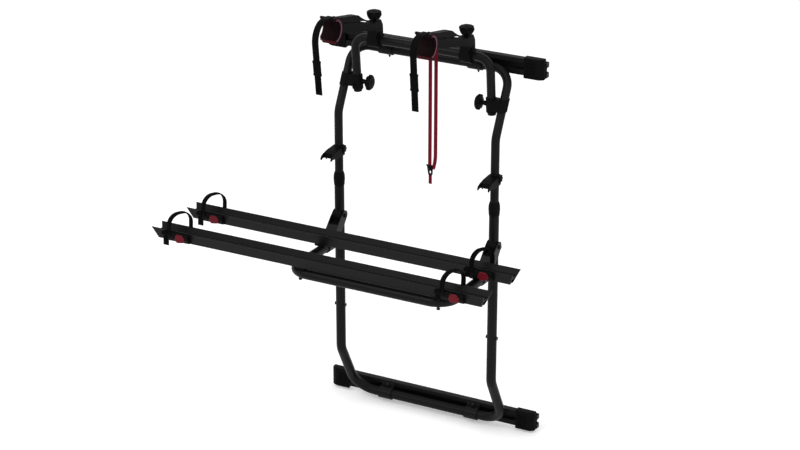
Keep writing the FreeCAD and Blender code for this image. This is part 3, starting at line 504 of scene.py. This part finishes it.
class CarrierFinishes(PropertyGroup):
    tube: StringProperty(
        name="Tube coat", description="Powder coat of the tubes", default="#0d0d0e")
    rail: StringProperty(
        name="Rail coat", description="Coat of the aluminium rails", default="#0c0c0d")
    plastic: StringProperty(
        name="Plastic", description="Glass-filled nylon mouldings", default="#0a0a0b")
    bracket: StringProperty(
        name="Brackets", description="Painted steel brackets and hooks", default="#0c0c0d")
    fastener: StringProperty(
        name="Fasteners", description="Blackened screws and bolts", default="#101011")
    rubber: StringProperty(
        name="Rubber", description="Straps and door strips", default="#080809")
    lining: StringProperty(
        name="Jaw lining", description="Red rubber of the jaws", default="#36080f")
    # The rim's paler colour is a painted highlight on the lining's inner edge
    rim: StringProperty(
        name="Jaw rim", description="Rubbed inner edge of the jaw lining", default="#74535e")
    # The inside's near-black colour is painted shade in the jaw's hollow
    grip: StringProperty(
        name="Jaw inside", description="Dark ribbed rubber inside the jaws", default="#150b0d")
    button: StringProperty(
        name="Release button", description="Red gloss of the buttons", default="#570a16")
    webbing: StringProperty(
        name="Webbing", description="Red polyester webbing", default="#741424")


class StrapSizes(PropertyGroup):
    width: FloatProperty(
        name="Strap width", description="Width of a wheel strap", default=0.022,
        subtype="DISTANCE", unit="LENGTH")
    thickness: FloatProperty(
        name="Strap thickness", description="Thickness of a wheel strap", default=0.0034,
        subtype="DISTANCE", unit="LENGTH")
    crown: FloatProperty(
        name="Arch height", description="Height of the arch over the rail's rim", default=0.060,
        subtype="DISTANCE", unit="LENGTH")
    rib_pitch: FloatProperty(
        name="Rib pitch", description="Spacing of the ratchet ribs", default=0.004,
        subtype="DISTANCE", unit="LENGTH")
    jaw_width: FloatProperty(
        name="Jaw strap width", description="Width of a jaw's strap", default=0.024,
        subtype="DISTANCE", unit="LENGTH")
    jaw_thickness: FloatProperty(
        name="Jaw strap thickness", description="Thickness of a jaw's strap", default=0.003,
        subtype="DISTANCE", unit="LENGTH")


class WebbingSizes(PropertyGroup):
    width: FloatProperty(
        name="Webbing width", description="Width of one strand", default=0.013,
        subtype="DISTANCE", unit="LENGTH")
    thickness: FloatProperty(
        name="Webbing thickness", description="Thickness of one strand", default=0.0016,
        subtype="DISTANCE", unit="LENGTH")
    thread: FloatProperty(
        name="Thread spacing", description="Spacing of the warp threads", default=0.0012,
        subtype="DISTANCE", unit="LENGTH")


class LiningSizes(PropertyGroup):
    thickness: FloatProperty(
        name="Lining thickness", description="Thickness of the jaw's rubber", default=0.0031,
        subtype="DISTANCE", unit="LENGTH")
    ribs: IntProperty(
        name="Ribs", description="Grip ribs inside each jaw", default=11, min=3, max=20)


class StageSettings(PropertyGroup):
    camera_place: FloatVectorProperty(
        name="Camera", description="Where the camera stands",
        default=(3.1705, -6.6148, 3.9649), subtype="TRANSLATION", unit="LENGTH")
    camera_turn: FloatVectorProperty(
        name="Camera turn", description="How the camera is turned",
        default=(math.radians(65.92), 0.0, math.radians(26.59)), subtype="EULER", unit="ROTATION")
    lens: FloatProperty(
        name="Lens", description="Focal length in millimetres", default=101.4, min=20, max=300)
    floor: FloatVectorProperty(
        name="Floor", description="Colour of floor and backdrop",
        default=(0.92, 0.92, 0.92), subtype="COLOR", size=3, min=0, max=1)
    key: FloatProperty(
        name="Key light", description="Strength of the key light in watts",
        default=170, min=0, max=3000)


finishes = {}


def finish_set():
    """Every finish, made once."""
    if finishes:
        return finishes
    hexes = bpy.context.scene.carrier_finishes
    # Polyester powder coat on aluminium tube: an even satin with a faint orange peel
    finishes["tube"] = finish(
        "powder_coated_aluminium_tube", hexes.tube, roughness=0.42, grain=0.0022, depth=0.00006,
        shade=0.05, Specular_IOR_Level=0.09)
    # Powder coat over an extrusion: satin, with the die lines just showing along its length
    finishes["rail"] = finish(
        "powder_coated_aluminium_extrusion", hexes.rail, roughness=0.45, grain=0.0012,
        depth=0.00006, shade=0.05, stretch=(0.03, 1, 1), Specular_IOR_Level=0.08)
    # Glass-filled nylon, injection moulded with a spark-eroded grain: matt, with a dry sparkle
    finishes["plastic"] = finish(
        "moulded_glass_filled_nylon", hexes.plastic, roughness=0.55, grain=0.0009, depth=0.00012,
        shade=0.08, Specular_IOR_Level=0.035)
    # Cathodic dip coat on pressed steel: thin, a little glossier than the powder coat
    finishes["bracket"] = finish(
        "dip_coated_pressed_steel", hexes.bracket, roughness=0.40, grain=0.003, depth=0.00004,
        shade=0.08, Specular_IOR_Level=0.1)
    # Black zinc on steel screws: a dark semi-gloss
    finishes["fastener"] = finish(
        "black_zinc_plated_steel", hexes.fastener, roughness=0.36, grain=0.0015, depth=0.00004,
        Metallic=0.1, Specular_IOR_Level=0.2)
    # EPDM rubber, extruded or moulded: matt and dusty, with a fine pebble
    finishes["rubber"] = finish(
        "moulded_epdm_rubber", hexes.rubber, roughness=0.72, grain=0.0012, depth=0.00015,
        shade=0.18, Specular_IOR_Level=0.025)
    # Thermoplastic rubber, moulded red: soft sheen, colour a little uneven in the thick places
    finishes["lining"] = finish(
        "moulded_red_thermoplastic_rubber", hexes.lining, roughness=0.58, grain=0.0014,
        depth=0.0001, Specular_IOR_Level=0.1)
    # The ribbed inside of the jaw, nearly black: painted shade of the jaw's hollow
    finishes["grip"] = finish(
        "dark_red_rubber_painted_shade", hexes.grip, roughness=0.7, grain=0.0012, depth=0.00012,
        shade=0.15, Specular_IOR_Level=0.03)
    # The same rubber on the lining's inner edge: paler as a painted highlight, and smoother
    finishes["rim"] = finish(
        "red_rubber_painted_highlight", hexes.rim, roughness=0.45, grain=0.0014, depth=0.00005,
        shade=0.1, Specular_IOR_Level=0.1)
    # ABS, moulded in a polished tool: clean gloss
    finishes["button"] = finish(
        "polished_red_abs", hexes.button, roughness=0.3, grain=0.004, depth=0.00002,
        shade=0.06, rough_spread=0.04, Specular_IOR_Level=0.12)
    # Polyester webbing, flat woven; the threads are drawn a little coarse so that they show
    finishes["webbing"] = woven(
        "red_polyester_webbing", hexes.webbing, bpy.context.scene.carrier_webbing.thread)
    return finishes


class CARRIER_OT_coat_frame(Operator):
    """Give every carried-over piece the finish of its material slot"""
    bl_idname = "carrier.coat_frame"
    bl_label = "Coat the frame"

    def execute(self, context):
        look = finish_set()
        by_slot = {"black_tube": "tube", "black_rail": "rail", "black_plastic": "plastic",
                   "black_bracket": "bracket", "dark_steel": "fastener", "pad_rubber": "rubber",
                   "strap_rubber": "rubber", "red_rubber": "lining", "red_plastic": "button",
                   "red_webbing": "webbing"}
        for part in frame["record"]["subparts"]:
            piece = frame["nodes"][part["node"]]
            wear(piece, look[by_slot[part["material_slot"]]])
            take(piece)
            bpy.ops.object.shade_smooth_by_angle(angle=FRAME_SMOOTH_ANGLE)
        deselect()
        return {"FINISHED"}


class CARRIER_OT_door_strips(Operator):
    """Ribbed rubber strips on the backs of the two door rails"""
    bl_idname = "carrier.door_strips"
    bl_label = "Door strips"

    def execute(self, context):
        for level, height in (("lower", 0.0), ("upper", UPPER_RAIL_HEIGHT)):
            low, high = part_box(level + "_rail_pad")
            half = (high.z - low.z) / 2
            outline = [(-STRIP_DEPTH, -half), (-STRIP_EDGE, -half)]
            for rib in range(STRIP_RIBS):
                middle = (rib - (STRIP_RIBS - 1) / 2) * 2 * half / STRIP_RIBS
                for step, depth in STRIP_STEPS:
                    outline.append((depth, middle + step * 2 * half / STRIP_RIBS))
            outline += [(-STRIP_EDGE, half), (-STRIP_DEPTH, half)]
            strip = block("door_strip_" + level, outline, low.x, high.x, 0.0002)
            settle(strip, Matrix.Translation((0, 0, height)))
            place_piece(strip, level + "_frame", finish_set()["rubber"],
                        [level + "_rail_pad"])
        return {"FINISHED"}


class CARRIER_OT_wheel_straps(Operator):
    """Ratchet straps that arch over the bike rails, with their tails and end mouldings"""
    bl_idname = "carrier.wheel_straps"
    bl_label = "Wheel straps"

    def execute(self, context):
        sizes = context.scene.carrier_straps
        look = finish_set()
        foot = RAIL_HALF_WIDTH + ARCH_GAP
        half_skew = (STRAP_SKEW - ARCH_START) / 2
        swing = math.atan2(half_skew, foot)
        span = math.hypot(half_skew, foot)
        crown = RAIL_HEIGHT + sizes.crown - sizes.thickness / 2
        bend = span * ARCH_BEND
        foot_height = RAIL_HEIGHT - ARCH_DEPTH
        arch_route = rounded([(-span, foot_height), (-span, crown, bend),
                              (span, crown, bend), (span, foot_height)], 14)
        side_shift = STRAP_SHIFT + (STRAP_SKEW + ARCH_START) / 2
        half_wide = sizes.width / 2
        for row in ROWS:
            for side in SIDES:
                tag = "%s_%s" % (row, side)
                body = row + "_bike_rail"
                arch = band("strap_band_" + tag, arch_route, sizes.width, sizes.thickness,
                            STRAP_BEVEL)
                ribs = ratchet_ribs("strap_ribs_" + tag, arch_route, sizes.rib_pitch, RIBS_BEGIN,
                                    length_of(arch_route) - RIBS_STOP, sizes.width * 0.62, 0.0010,
                                    sizes.thickness / 2 - 0.0001)
                arch = join("wheel_strap_arch_" + tag, [arch, ribs])
                turn = Matrix.Rotation(-swing, 4, "Z")
                settle(arch, on_rail(row, STRAP_X[side] + side_shift) @ turn)
                place_piece(arch, body, look["rubber"], ["wheel_strap_" + tag])
                if side == "right":
                    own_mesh(arch)

                drop = [(TAIL_Y, TAIL_TOP), (TAIL_Y, STRAP_TAIL_END[side])]
                tail = band("strap_tail_" + tag, drop, sizes.width, sizes.thickness, STRAP_BEVEL)
                hem = block("strap_hem_" + tag, rounded(HEM, 4), -half_wide, half_wide, 0.0006)
                front = join("strap_front_" + tag, [tail, hem])
                front.data.transform(Matrix.Translation((STRAP_SHIFT - STRAP_SKEW, 0, 0)))
                anchor = block("strap_anchor_" + tag, rounded(ANCHOR, 4), -half_wide - ANCHOR_SIDE,
                               half_wide + ANCHOR_SIDE, 0.0008)
                anchor.data.transform(Matrix.Translation((STRAP_SHIFT + STRAP_SKEW, 0, 0)))
                feet = join("wheel_strap_feet_" + tag, [front, anchor])
                settle(feet, on_rail(row, STRAP_X[side]))
                place_piece(feet, body, look["rubber"])
        return {"FINISHED"}


class CARRIER_OT_jaw_linings(Operator):
    """Red rubber linings with grip ribs and beaded edges in the two jaws"""
    bl_idname = "carrier.jaw_linings"
    bl_label = "Jaw linings"

    def execute(self, context):
        sizes = context.scene.carrier_lining
        outer = SADDLE_RADIUS - LINING_GAP
        inner = outer - sizes.thickness
        wide = SADDLE_HALF_WIDTH + LINING_EDGE
        saddle_outside = SADDLE_RADIUS + SADDLE_WALL
        for side in SIDES:
            across = Vector((ARM_X[side] + SADDLE_SHIFT, 0, 0))
            place = Matrix.Translation(HOOP_TOP + SADDLE + across)
            body = "bike_arm_" + side
            flanges = []
            rims = []
            for sign in (-1, 1):
                near = sign * (SADDLE_HALF_WIDTH + 0.0002)
                far = sign * wide
                low, high = outer - 0.001, saddle_outside - LINING_EDGE
                flanges.append(self.half_ring("lining_flange_" + side, [
                    (near, low), (far, low), (far, high), (near, high)]))
                back, front = far - sign * 0.0022, far + sign * 0.0004
                rims.append(self.half_ring("lining_rim_" + side, [
                    (back, inner), (front, inner + 0.0002),
                    (front, inner + 0.0021), (back, inner + 0.0024)]))
            lips = {}
            for sign in (-1, 1):
                low, high = sorted((sign * inner, sign * (saddle_outside + LINING_EDGE)))
                lips[sign] = block("lining_lip_" + side, [
                    (LIP_Y[0], low), (LIP_Y[1], low), (LIP_Y[1], high), (LIP_Y[0], high)],
                    -wide, wide, 0.0012)
            lining = self.tuck(join("jaw_lining_flanges_" + side, flanges + [lips[-1]]), wide)
            settle(lining, place)
            place_piece(lining, body, finish_set()["lining"], ["jaw_lining_" + side])
            # The rims wear the paler finish, a painted highlight along the lining's edges
            rim = self.tuck(join("jaw_lining_rims_" + side, rims), wide)
            settle(rim, place)
            place_piece(rim, body, finish_set()["rim"])

            end = wide - 0.001
            shell = self.half_ring("grip_pad_shell_" + side, [
                (-end, inner), (end, inner), (end, outer), (-end, outer)])
            tip, root = inner - 0.0012, inner + 0.001
            ridge = block("grip_pad_rib_" + side, [
                (tip, -0.0010), (root, -0.0016), (root, 0.0016), (tip, 0.0010)],
                -wide + 0.004, wide - 0.004, 0.0004)
            grip = []
            for rib in range(sizes.ribs):
                angle = math.radians(-GRIP_SPREAD + 2 * GRIP_SPREAD * rib / (sizes.ribs - 1))
                grip.append(copy_of(ridge, Matrix.Rotation(angle, 4, "X")))
            bpy.data.objects.remove(ridge)
            # The pad, its ribs and one lip wear the near-black finish, painted shade of the jaw's
            # hollow
            pad = self.tuck(join("jaw_grip_pad_" + side, [shell, lips[1]] + grip), wide)
            settle(pad, place)
            place_piece(pad, body, finish_set()["grip"])
        return {"FINISHED"}

    def tuck(self, piece, wide):
        """Draw the left end in along the two rounded corners of the jaw."""
        radius = SADDLE_CORNER + LINING_PROUD
        centre = Vector((SADDLE_CORNER - SADDLE_HALF_WIDTH, SADDLE_CORNER - 0.004))
        for vertex in piece.data.vertices:
            if vertex.co.x > 0.006 - wide:
                continue
            rise = max(0.0, centre.y - vertex.co.y)
            end = centre.x - math.sqrt(max(0.0, radius ** 2 - rise ** 2))
            vertex.co.x += max(0.0, end + wide)
        return piece

    def half_ring(self, name, section):
        """A section in X and radius, spun half a turn about X on the side of the van."""
        deselect()
        bpy.ops.mesh.primitive_circle_add(vertices=len(section), radius=1, fill_type="NGON")
        ring = named(name)
        for vertex, (x, radius) in zip(ring.data.vertices, section):
            vertex.co = (x, 0.0, -radius)
        bpy.ops.object.mode_set(mode="EDIT")
        bpy.ops.mesh.select_all(action="SELECT")
        bpy.ops.mesh.spin(steps=LINING_STEPS, angle=-math.pi, center=(0, 0, 0), axis=(1, 0, 0))
        bpy.ops.object.mode_set(mode="OBJECT")
        outward(ring)
        return soften(ring, 0.0005)


class CARRIER_OT_jaw_straps(Operator):
    """Rubber straps that hang from the jaws, each with its sleeve"""
    bl_idname = "carrier.jaw_straps"
    bl_label = "Jaw straps"

    def execute(self, context):
        sizes = context.scene.carrier_straps
        for side in SIDES:
            peak, low, bottom, sleeve_low, sleeve_high = JAW_DROPS[side]
            start = SADDLE.y + 0.008
            top = SADDLE.z + SADDLE_RADIUS + SADDLE_WALL + 0.0018 + sizes.jaw_thickness / 2
            top -= JAW_STRAP_RISE * 0.014 / (start - peak)
            bend = 0.55 * (SADDLE.y - peak)
            route = rounded([(start, top), (peak, top + JAW_STRAP_RISE, bend), (low, bottom)], 16)
            strap = band("jaw_band_" + side, route, sizes.jaw_width, sizes.jaw_thickness, 0.0007)
            length = length_of(route)
            below = length - (sleeve_low - bottom) + 0.004
            ribs = ratchet_ribs("jaw_ribs_" + side, route, JAW_RIB_PITCH, below, length - 0.008,
                                sizes.jaw_width * 0.6, 0.0009, -sizes.jaw_thickness / 2 - 0.0008)
            sleeve = self.sleeve(side, sleeve_low - bottom, sleeve_high - bottom)
            lean = Matrix.Rotation(math.atan2(low - peak, top + JAW_STRAP_RISE - bottom), 4, "X")
            sleeve.data.transform(Matrix.Translation((0, low, bottom)) @ lean)
            whole = join("jaw_strap_dressed_" + side, [strap, ribs, sleeve])
            settle(whole, Matrix.Translation(HOOP_TOP + Vector((ARM_X[side], 0, 0))))
            place_piece(whole, "bike_arm_" + side, finish_set()["rubber"],
                        ["jaw_strap_" + side])
        return {"FINISHED"}

    def sleeve(self, side, low, high):
        """A moulded sleeve, waisted between two collars."""
        collar, waist = SLEEVE_HALF_WIDTH, SLEEVE_WAIST
        right = [(collar, low), (collar, low + 0.006), (waist, low + 0.009),
                 (waist, high - 0.009), (collar, high - 0.006), (collar, high)]
        left = [(-across, z) for across, z in reversed(right)]
        outline = left[-1:] + right + left[:-1]
        sleeve = block("jaw_sleeve_" + side, outline, -SLEEVE_HALF_DEPTH, SLEEVE_HALF_DEPTH, 0.0012)
        sleeve.data.transform(SWAP_XY)
        return outward(sleeve)


class CARRIER_OT_webbing(Operator):
    """Red security webbing: two strands, a buckle and a folded, stitched tail"""
    bl_idname = "carrier.webbing"
    bl_label = "Security webbing"

    def execute(self, context):
        sizes = context.scene.carrier_webbing
        place = HOOP_TOP + Vector((ARM_X["right"], SADDLE.y + WEBBING_OUT, 0))
        straight = self.strand("webbing_left_strand", LEFT_STRAND_END, sizes,
                               lambda z: LEFT_STRAND_X)
        angled = self.strand("webbing_right_strand", RIGHT_STRAND_END, sizes, self.right_strand)
        tail = self.tail(sizes)
        buckle = self.buckle()
        for piece in (straight, angled, tail, buckle):
            settle(piece, Matrix.Translation(place))
        webbing = finish_set()["webbing"]
        place_piece(straight, "bike_arm_right", webbing, ["webbing_strands"])
        place_piece(angled, "bike_arm_right", webbing)
        place_piece(tail, "bike_arm_right", webbing)
        place_piece(buckle, "bike_arm_right", finish_set()["plastic"],
                    ["webbing_buckle"])
        for piece in (straight, angled, tail, buckle):
            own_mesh(piece)
        return {"FINISHED"}

    def right_strand(self, z):
        """Straight down, then drawn in to the buckle."""
        drawn = max(0.0, min(1.0, (DRAW_IN_FROM - z) / DRAW_IN_LENGTH))
        return RIGHT_STRAND_X - DRAW_IN * drawn * drawn

    def strand(self, name, bottom, sizes, centre):
        """A strand from the jaw down, with its middle along X given at each height."""
        route = [(STRAND_SWAY * math.sin(math.pi * step / STRAND_STEPS),
                  WEBBING_TOP + (bottom - WEBBING_TOP) * step / STRAND_STEPS)
                 for step in range(STRAND_STEPS + 1)]
        strand = band(name, route, sizes.width, sizes.thickness, 0.0004)
        for vertex in strand.data.vertices:
            vertex.co.x += centre(vertex.co.z)
        return strand

    def tail(self, sizes):
        """Two layers, folded over at the bottom and held by rows of stitches."""
        layers = []
        for offset in (-TAIL_LAYER, TAIL_LAYER):
            route = [(offset, -0.334), (offset, -0.350), (offset * 1.1, -0.3693)]
            layers.append(band("webbing_tail_layer", route, sizes.width * TAIL_NARROWING,
                               sizes.thickness, 0.0004))
        fold = rounded([(-0.0017, -0.3686), (-0.0017, -0.3697, 0.0006),
                        (0.0017, -0.3697, 0.0006), (0.0017, -0.3686)], 4)
        layers.append(block("webbing_tail_fold", fold, -0.0055, 0.0055, 0.0002))
        stitch = block("webbing_stitch", [
            (-0.0022, -0.0004), (0.0022, -0.0004), (0.0022, 0.0004), (-0.0022, 0.0004)],
            -0.0045, 0.0045, 0.0002)
        for row in range(STITCH_ROWS):
            height = LOWEST_STITCH + row * STITCH_PITCH
            layers.append(copy_of(stitch, Matrix.Translation((0, 0, height))))
        bpy.data.objects.remove(stitch)
        tail = join("webbing_tail", layers)
        tail.data.transform(Matrix.Translation((TAIL_X, 0, 0)))
        return tail

    def buckle(self):
        """A cam buckle: two cheeks that draw in downwards, three bars, a cam and a thumb edge."""
        low, high = BUCKLE_LOW, BUCKLE_HIGH
        parts = []
        for x_top, x_bottom in BUCKLE_CHEEKS:
            cheek = block("buckle_cheek", rounded([
                (-0.0045, high - 0.006), (-0.0045, low + 0.002, 0.002), (0.003, low, 0.002),
                (0.0045, low + 0.004, 0.002), (0.0045, high - 0.002, 0.002), (-0.002, high, 0.002),
                (-0.0045, high - 0.006)], 4), 0, 0.0034, 0.0007)
            for vertex in cheek.data.vertices:
                down = (high - vertex.co.z) / (high - low)
                vertex.co.x += x_top + (x_bottom - x_top) * down
            parts.append(cheek)
        for z, depth, x_low, x_high in BUCKLE_BARS:
            half, top = depth / 2, z + BAR_HEIGHT
            parts.append(block("buckle_bar", [(-half, z), (half, z), (half, top), (-half, top)],
                               x_low, x_high, 0.0014))
        cam = block("buckle_cam", [
            (-0.0044, -0.3035), (-0.0020, -0.3035), (0.0030, -0.3160), (-0.0040, -0.3185)],
            -0.0140, -0.0008, 0.0009)
        thumb = block("buckle_thumb", [
            (-0.0020, -0.3065), (0.0020, -0.3065), (0.0020, -0.3020), (-0.0020, -0.3010)],
            -0.0210, -0.0150, 0.0009)
        return join("webbing_cam_buckle", parts + [cam, thumb])


class CARRIER_OT_stage(Operator):
    """Pale floor, soft light and the camera at the photograph's angle"""
    bl_idname = "carrier.stage"
    bl_label = "Stage"

    def execute(self, context):
        settings = context.scene.carrier_stage
        low, _ = cad_bounds
        deselect()
        bpy.ops.mesh.primitive_plane_add(size=FLOOR_SIZE, location=(0, 0, low[2] - FLOOR_GAP))
        floor = named("floor")
        floor.data.materials.append(self.backdrop(settings.floor))

        world = bpy.data.worlds.new("studio")
        context.scene.world = world
        world.use_nodes = True
        tree = world.node_tree
        background = tree.nodes["Background"]
        background.inputs["Color"].default_value = (1, 1, 1, 1)
        # The backdrop shows white; its light is a little weaker
        strength = node(tree, "ShaderNodeMapRange",
                        values=[("To Min", WORLD_LIGHT), ("To Max", 1.0)],
                        links=[("Value", self.seen(tree))])
        tree.links.new(strength.outputs["Result"], background.inputs["Strength"])

        for name, place, watts in (
            ("key_light", (-1.5, -4.0, 5.5), settings.key),
            ("fill_light", (4.5, -3.0, 2.5), settings.key * FILL_SHARE),
        ):
            bpy.ops.object.light_add(type="AREA", location=place)
            lamp = named(name)
            lamp.data.size = LIGHT_SIZE
            lamp.data.energy = watts
            aim = LIGHT_AIM - Vector(place)
            lamp.rotation_euler = aim.to_track_quat("-Z", "Y").to_euler()

        bpy.ops.object.camera_add(location=settings.camera_place, rotation=settings.camera_turn)
        camera = named("photograph_camera")
        camera.data.lens = settings.lens
        camera.data.sensor_width = SENSOR_WIDTH
        camera.data.clip_end = CLIP_END
        context.scene.camera = camera
        context.scene.view_settings.view_transform = "Standard"
        return {"FINISHED"}

    def backdrop(self, colour):
        """Nearly white, and still shaded under the object."""
        material = bpy.data.materials.new("pale_studio_floor")
        material.use_nodes = True
        tree = material.node_tree
        principled = tree.nodes["Principled BSDF"]
        principled.inputs["Base Color"].default_value = tuple(colour) + (1.0,)
        principled.inputs["Roughness"].default_value = 0.9
        # The lift towards white is seen, also in reflections, and lights nothing else
        lift = node(tree, "ShaderNodeMath", values=[(1, FLOOR_LIFT)], links=[(0, self.seen(tree))],
                    operation="MULTIPLY")
        principled.inputs["Emission Color"].default_value = (1, 1, 1, 1)
        tree.links.new(lift.outputs["Value"], principled.inputs["Emission Strength"])
        return material

    def seen(self, tree):
        """1 for rays that show a thing directly, in a reflection or through glass, and else 0."""
        ray = node(tree, "ShaderNodeLightPath").outputs
        seen = ray["Is Camera Ray"]
        for other in ("Is Glossy Ray", "Is Transmission Ray"):
            either = node(tree, "ShaderNodeMath", links=[(0, seen), (1, ray[other])],
                          operation="MAXIMUM")
            seen = either.outputs["Value"]
        return seen


PIECES = (
    (CARRIER_OT_coat_frame, "Frame finishes"),
    (CARRIER_OT_door_strips, "Door strips"),
    (CARRIER_OT_wheel_straps, "Wheel straps"),
    (CARRIER_OT_jaw_linings, "Jaw linings"),
    (CARRIER_OT_jaw_straps, "Jaw straps"),
    (CARRIER_OT_webbing, "Security webbing"),
    (CARRIER_OT_stage, "Stage"),
)
GROUPS = {
    "carrier_finishes": CarrierFinishes,
    "carrier_straps": StrapSizes,
    "carrier_webbing": WebbingSizes,
    "carrier_lining": LiningSizes,
    "carrier_stage": StageSettings,
}


class CARRIER_PT_pieces(Panel):
    bl_idname = "CARRIER_PT_pieces"
    bl_label = "Bike carrier"
    bl_space_type = "VIEW_3D"
    bl_region_type = "UI"
    bl_category = "Bike Carrier"

    def draw(self, context):
        layout = self.layout
        for operator, label in PIECES:
            layout.operator(operator.bl_idname, text=label)
        for group in GROUPS:
            box = layout.box()
            settings = getattr(context.scene, group)
            for name in settings.bl_rna.properties.keys():
                if name not in {"rna_type", "name"}:
                    box.prop(settings, name)


CLASSES = tuple(GROUPS.values()) + tuple(operator for operator, _ in PIECES) + (CARRIER_PT_pieces,)


def register():
    for cls in CLASSES:
        bpy.utils.register_class(cls)
    for name, group in GROUPS.items():
        setattr(bpy.types.Scene, name, PointerProperty(type=group))


def unregister():
    for name in GROUPS:
        delattr(bpy.types.Scene, name)
    for cls in reversed(CLASSES):
        bpy.utils.unregister_class(cls)


def main():
    register()
    for operator, _ in PIECES:
        group, name = operator.bl_idname.split(".")
        getattr(getattr(bpy.ops, group), name)()


if __name__ == "__main__":
    main()
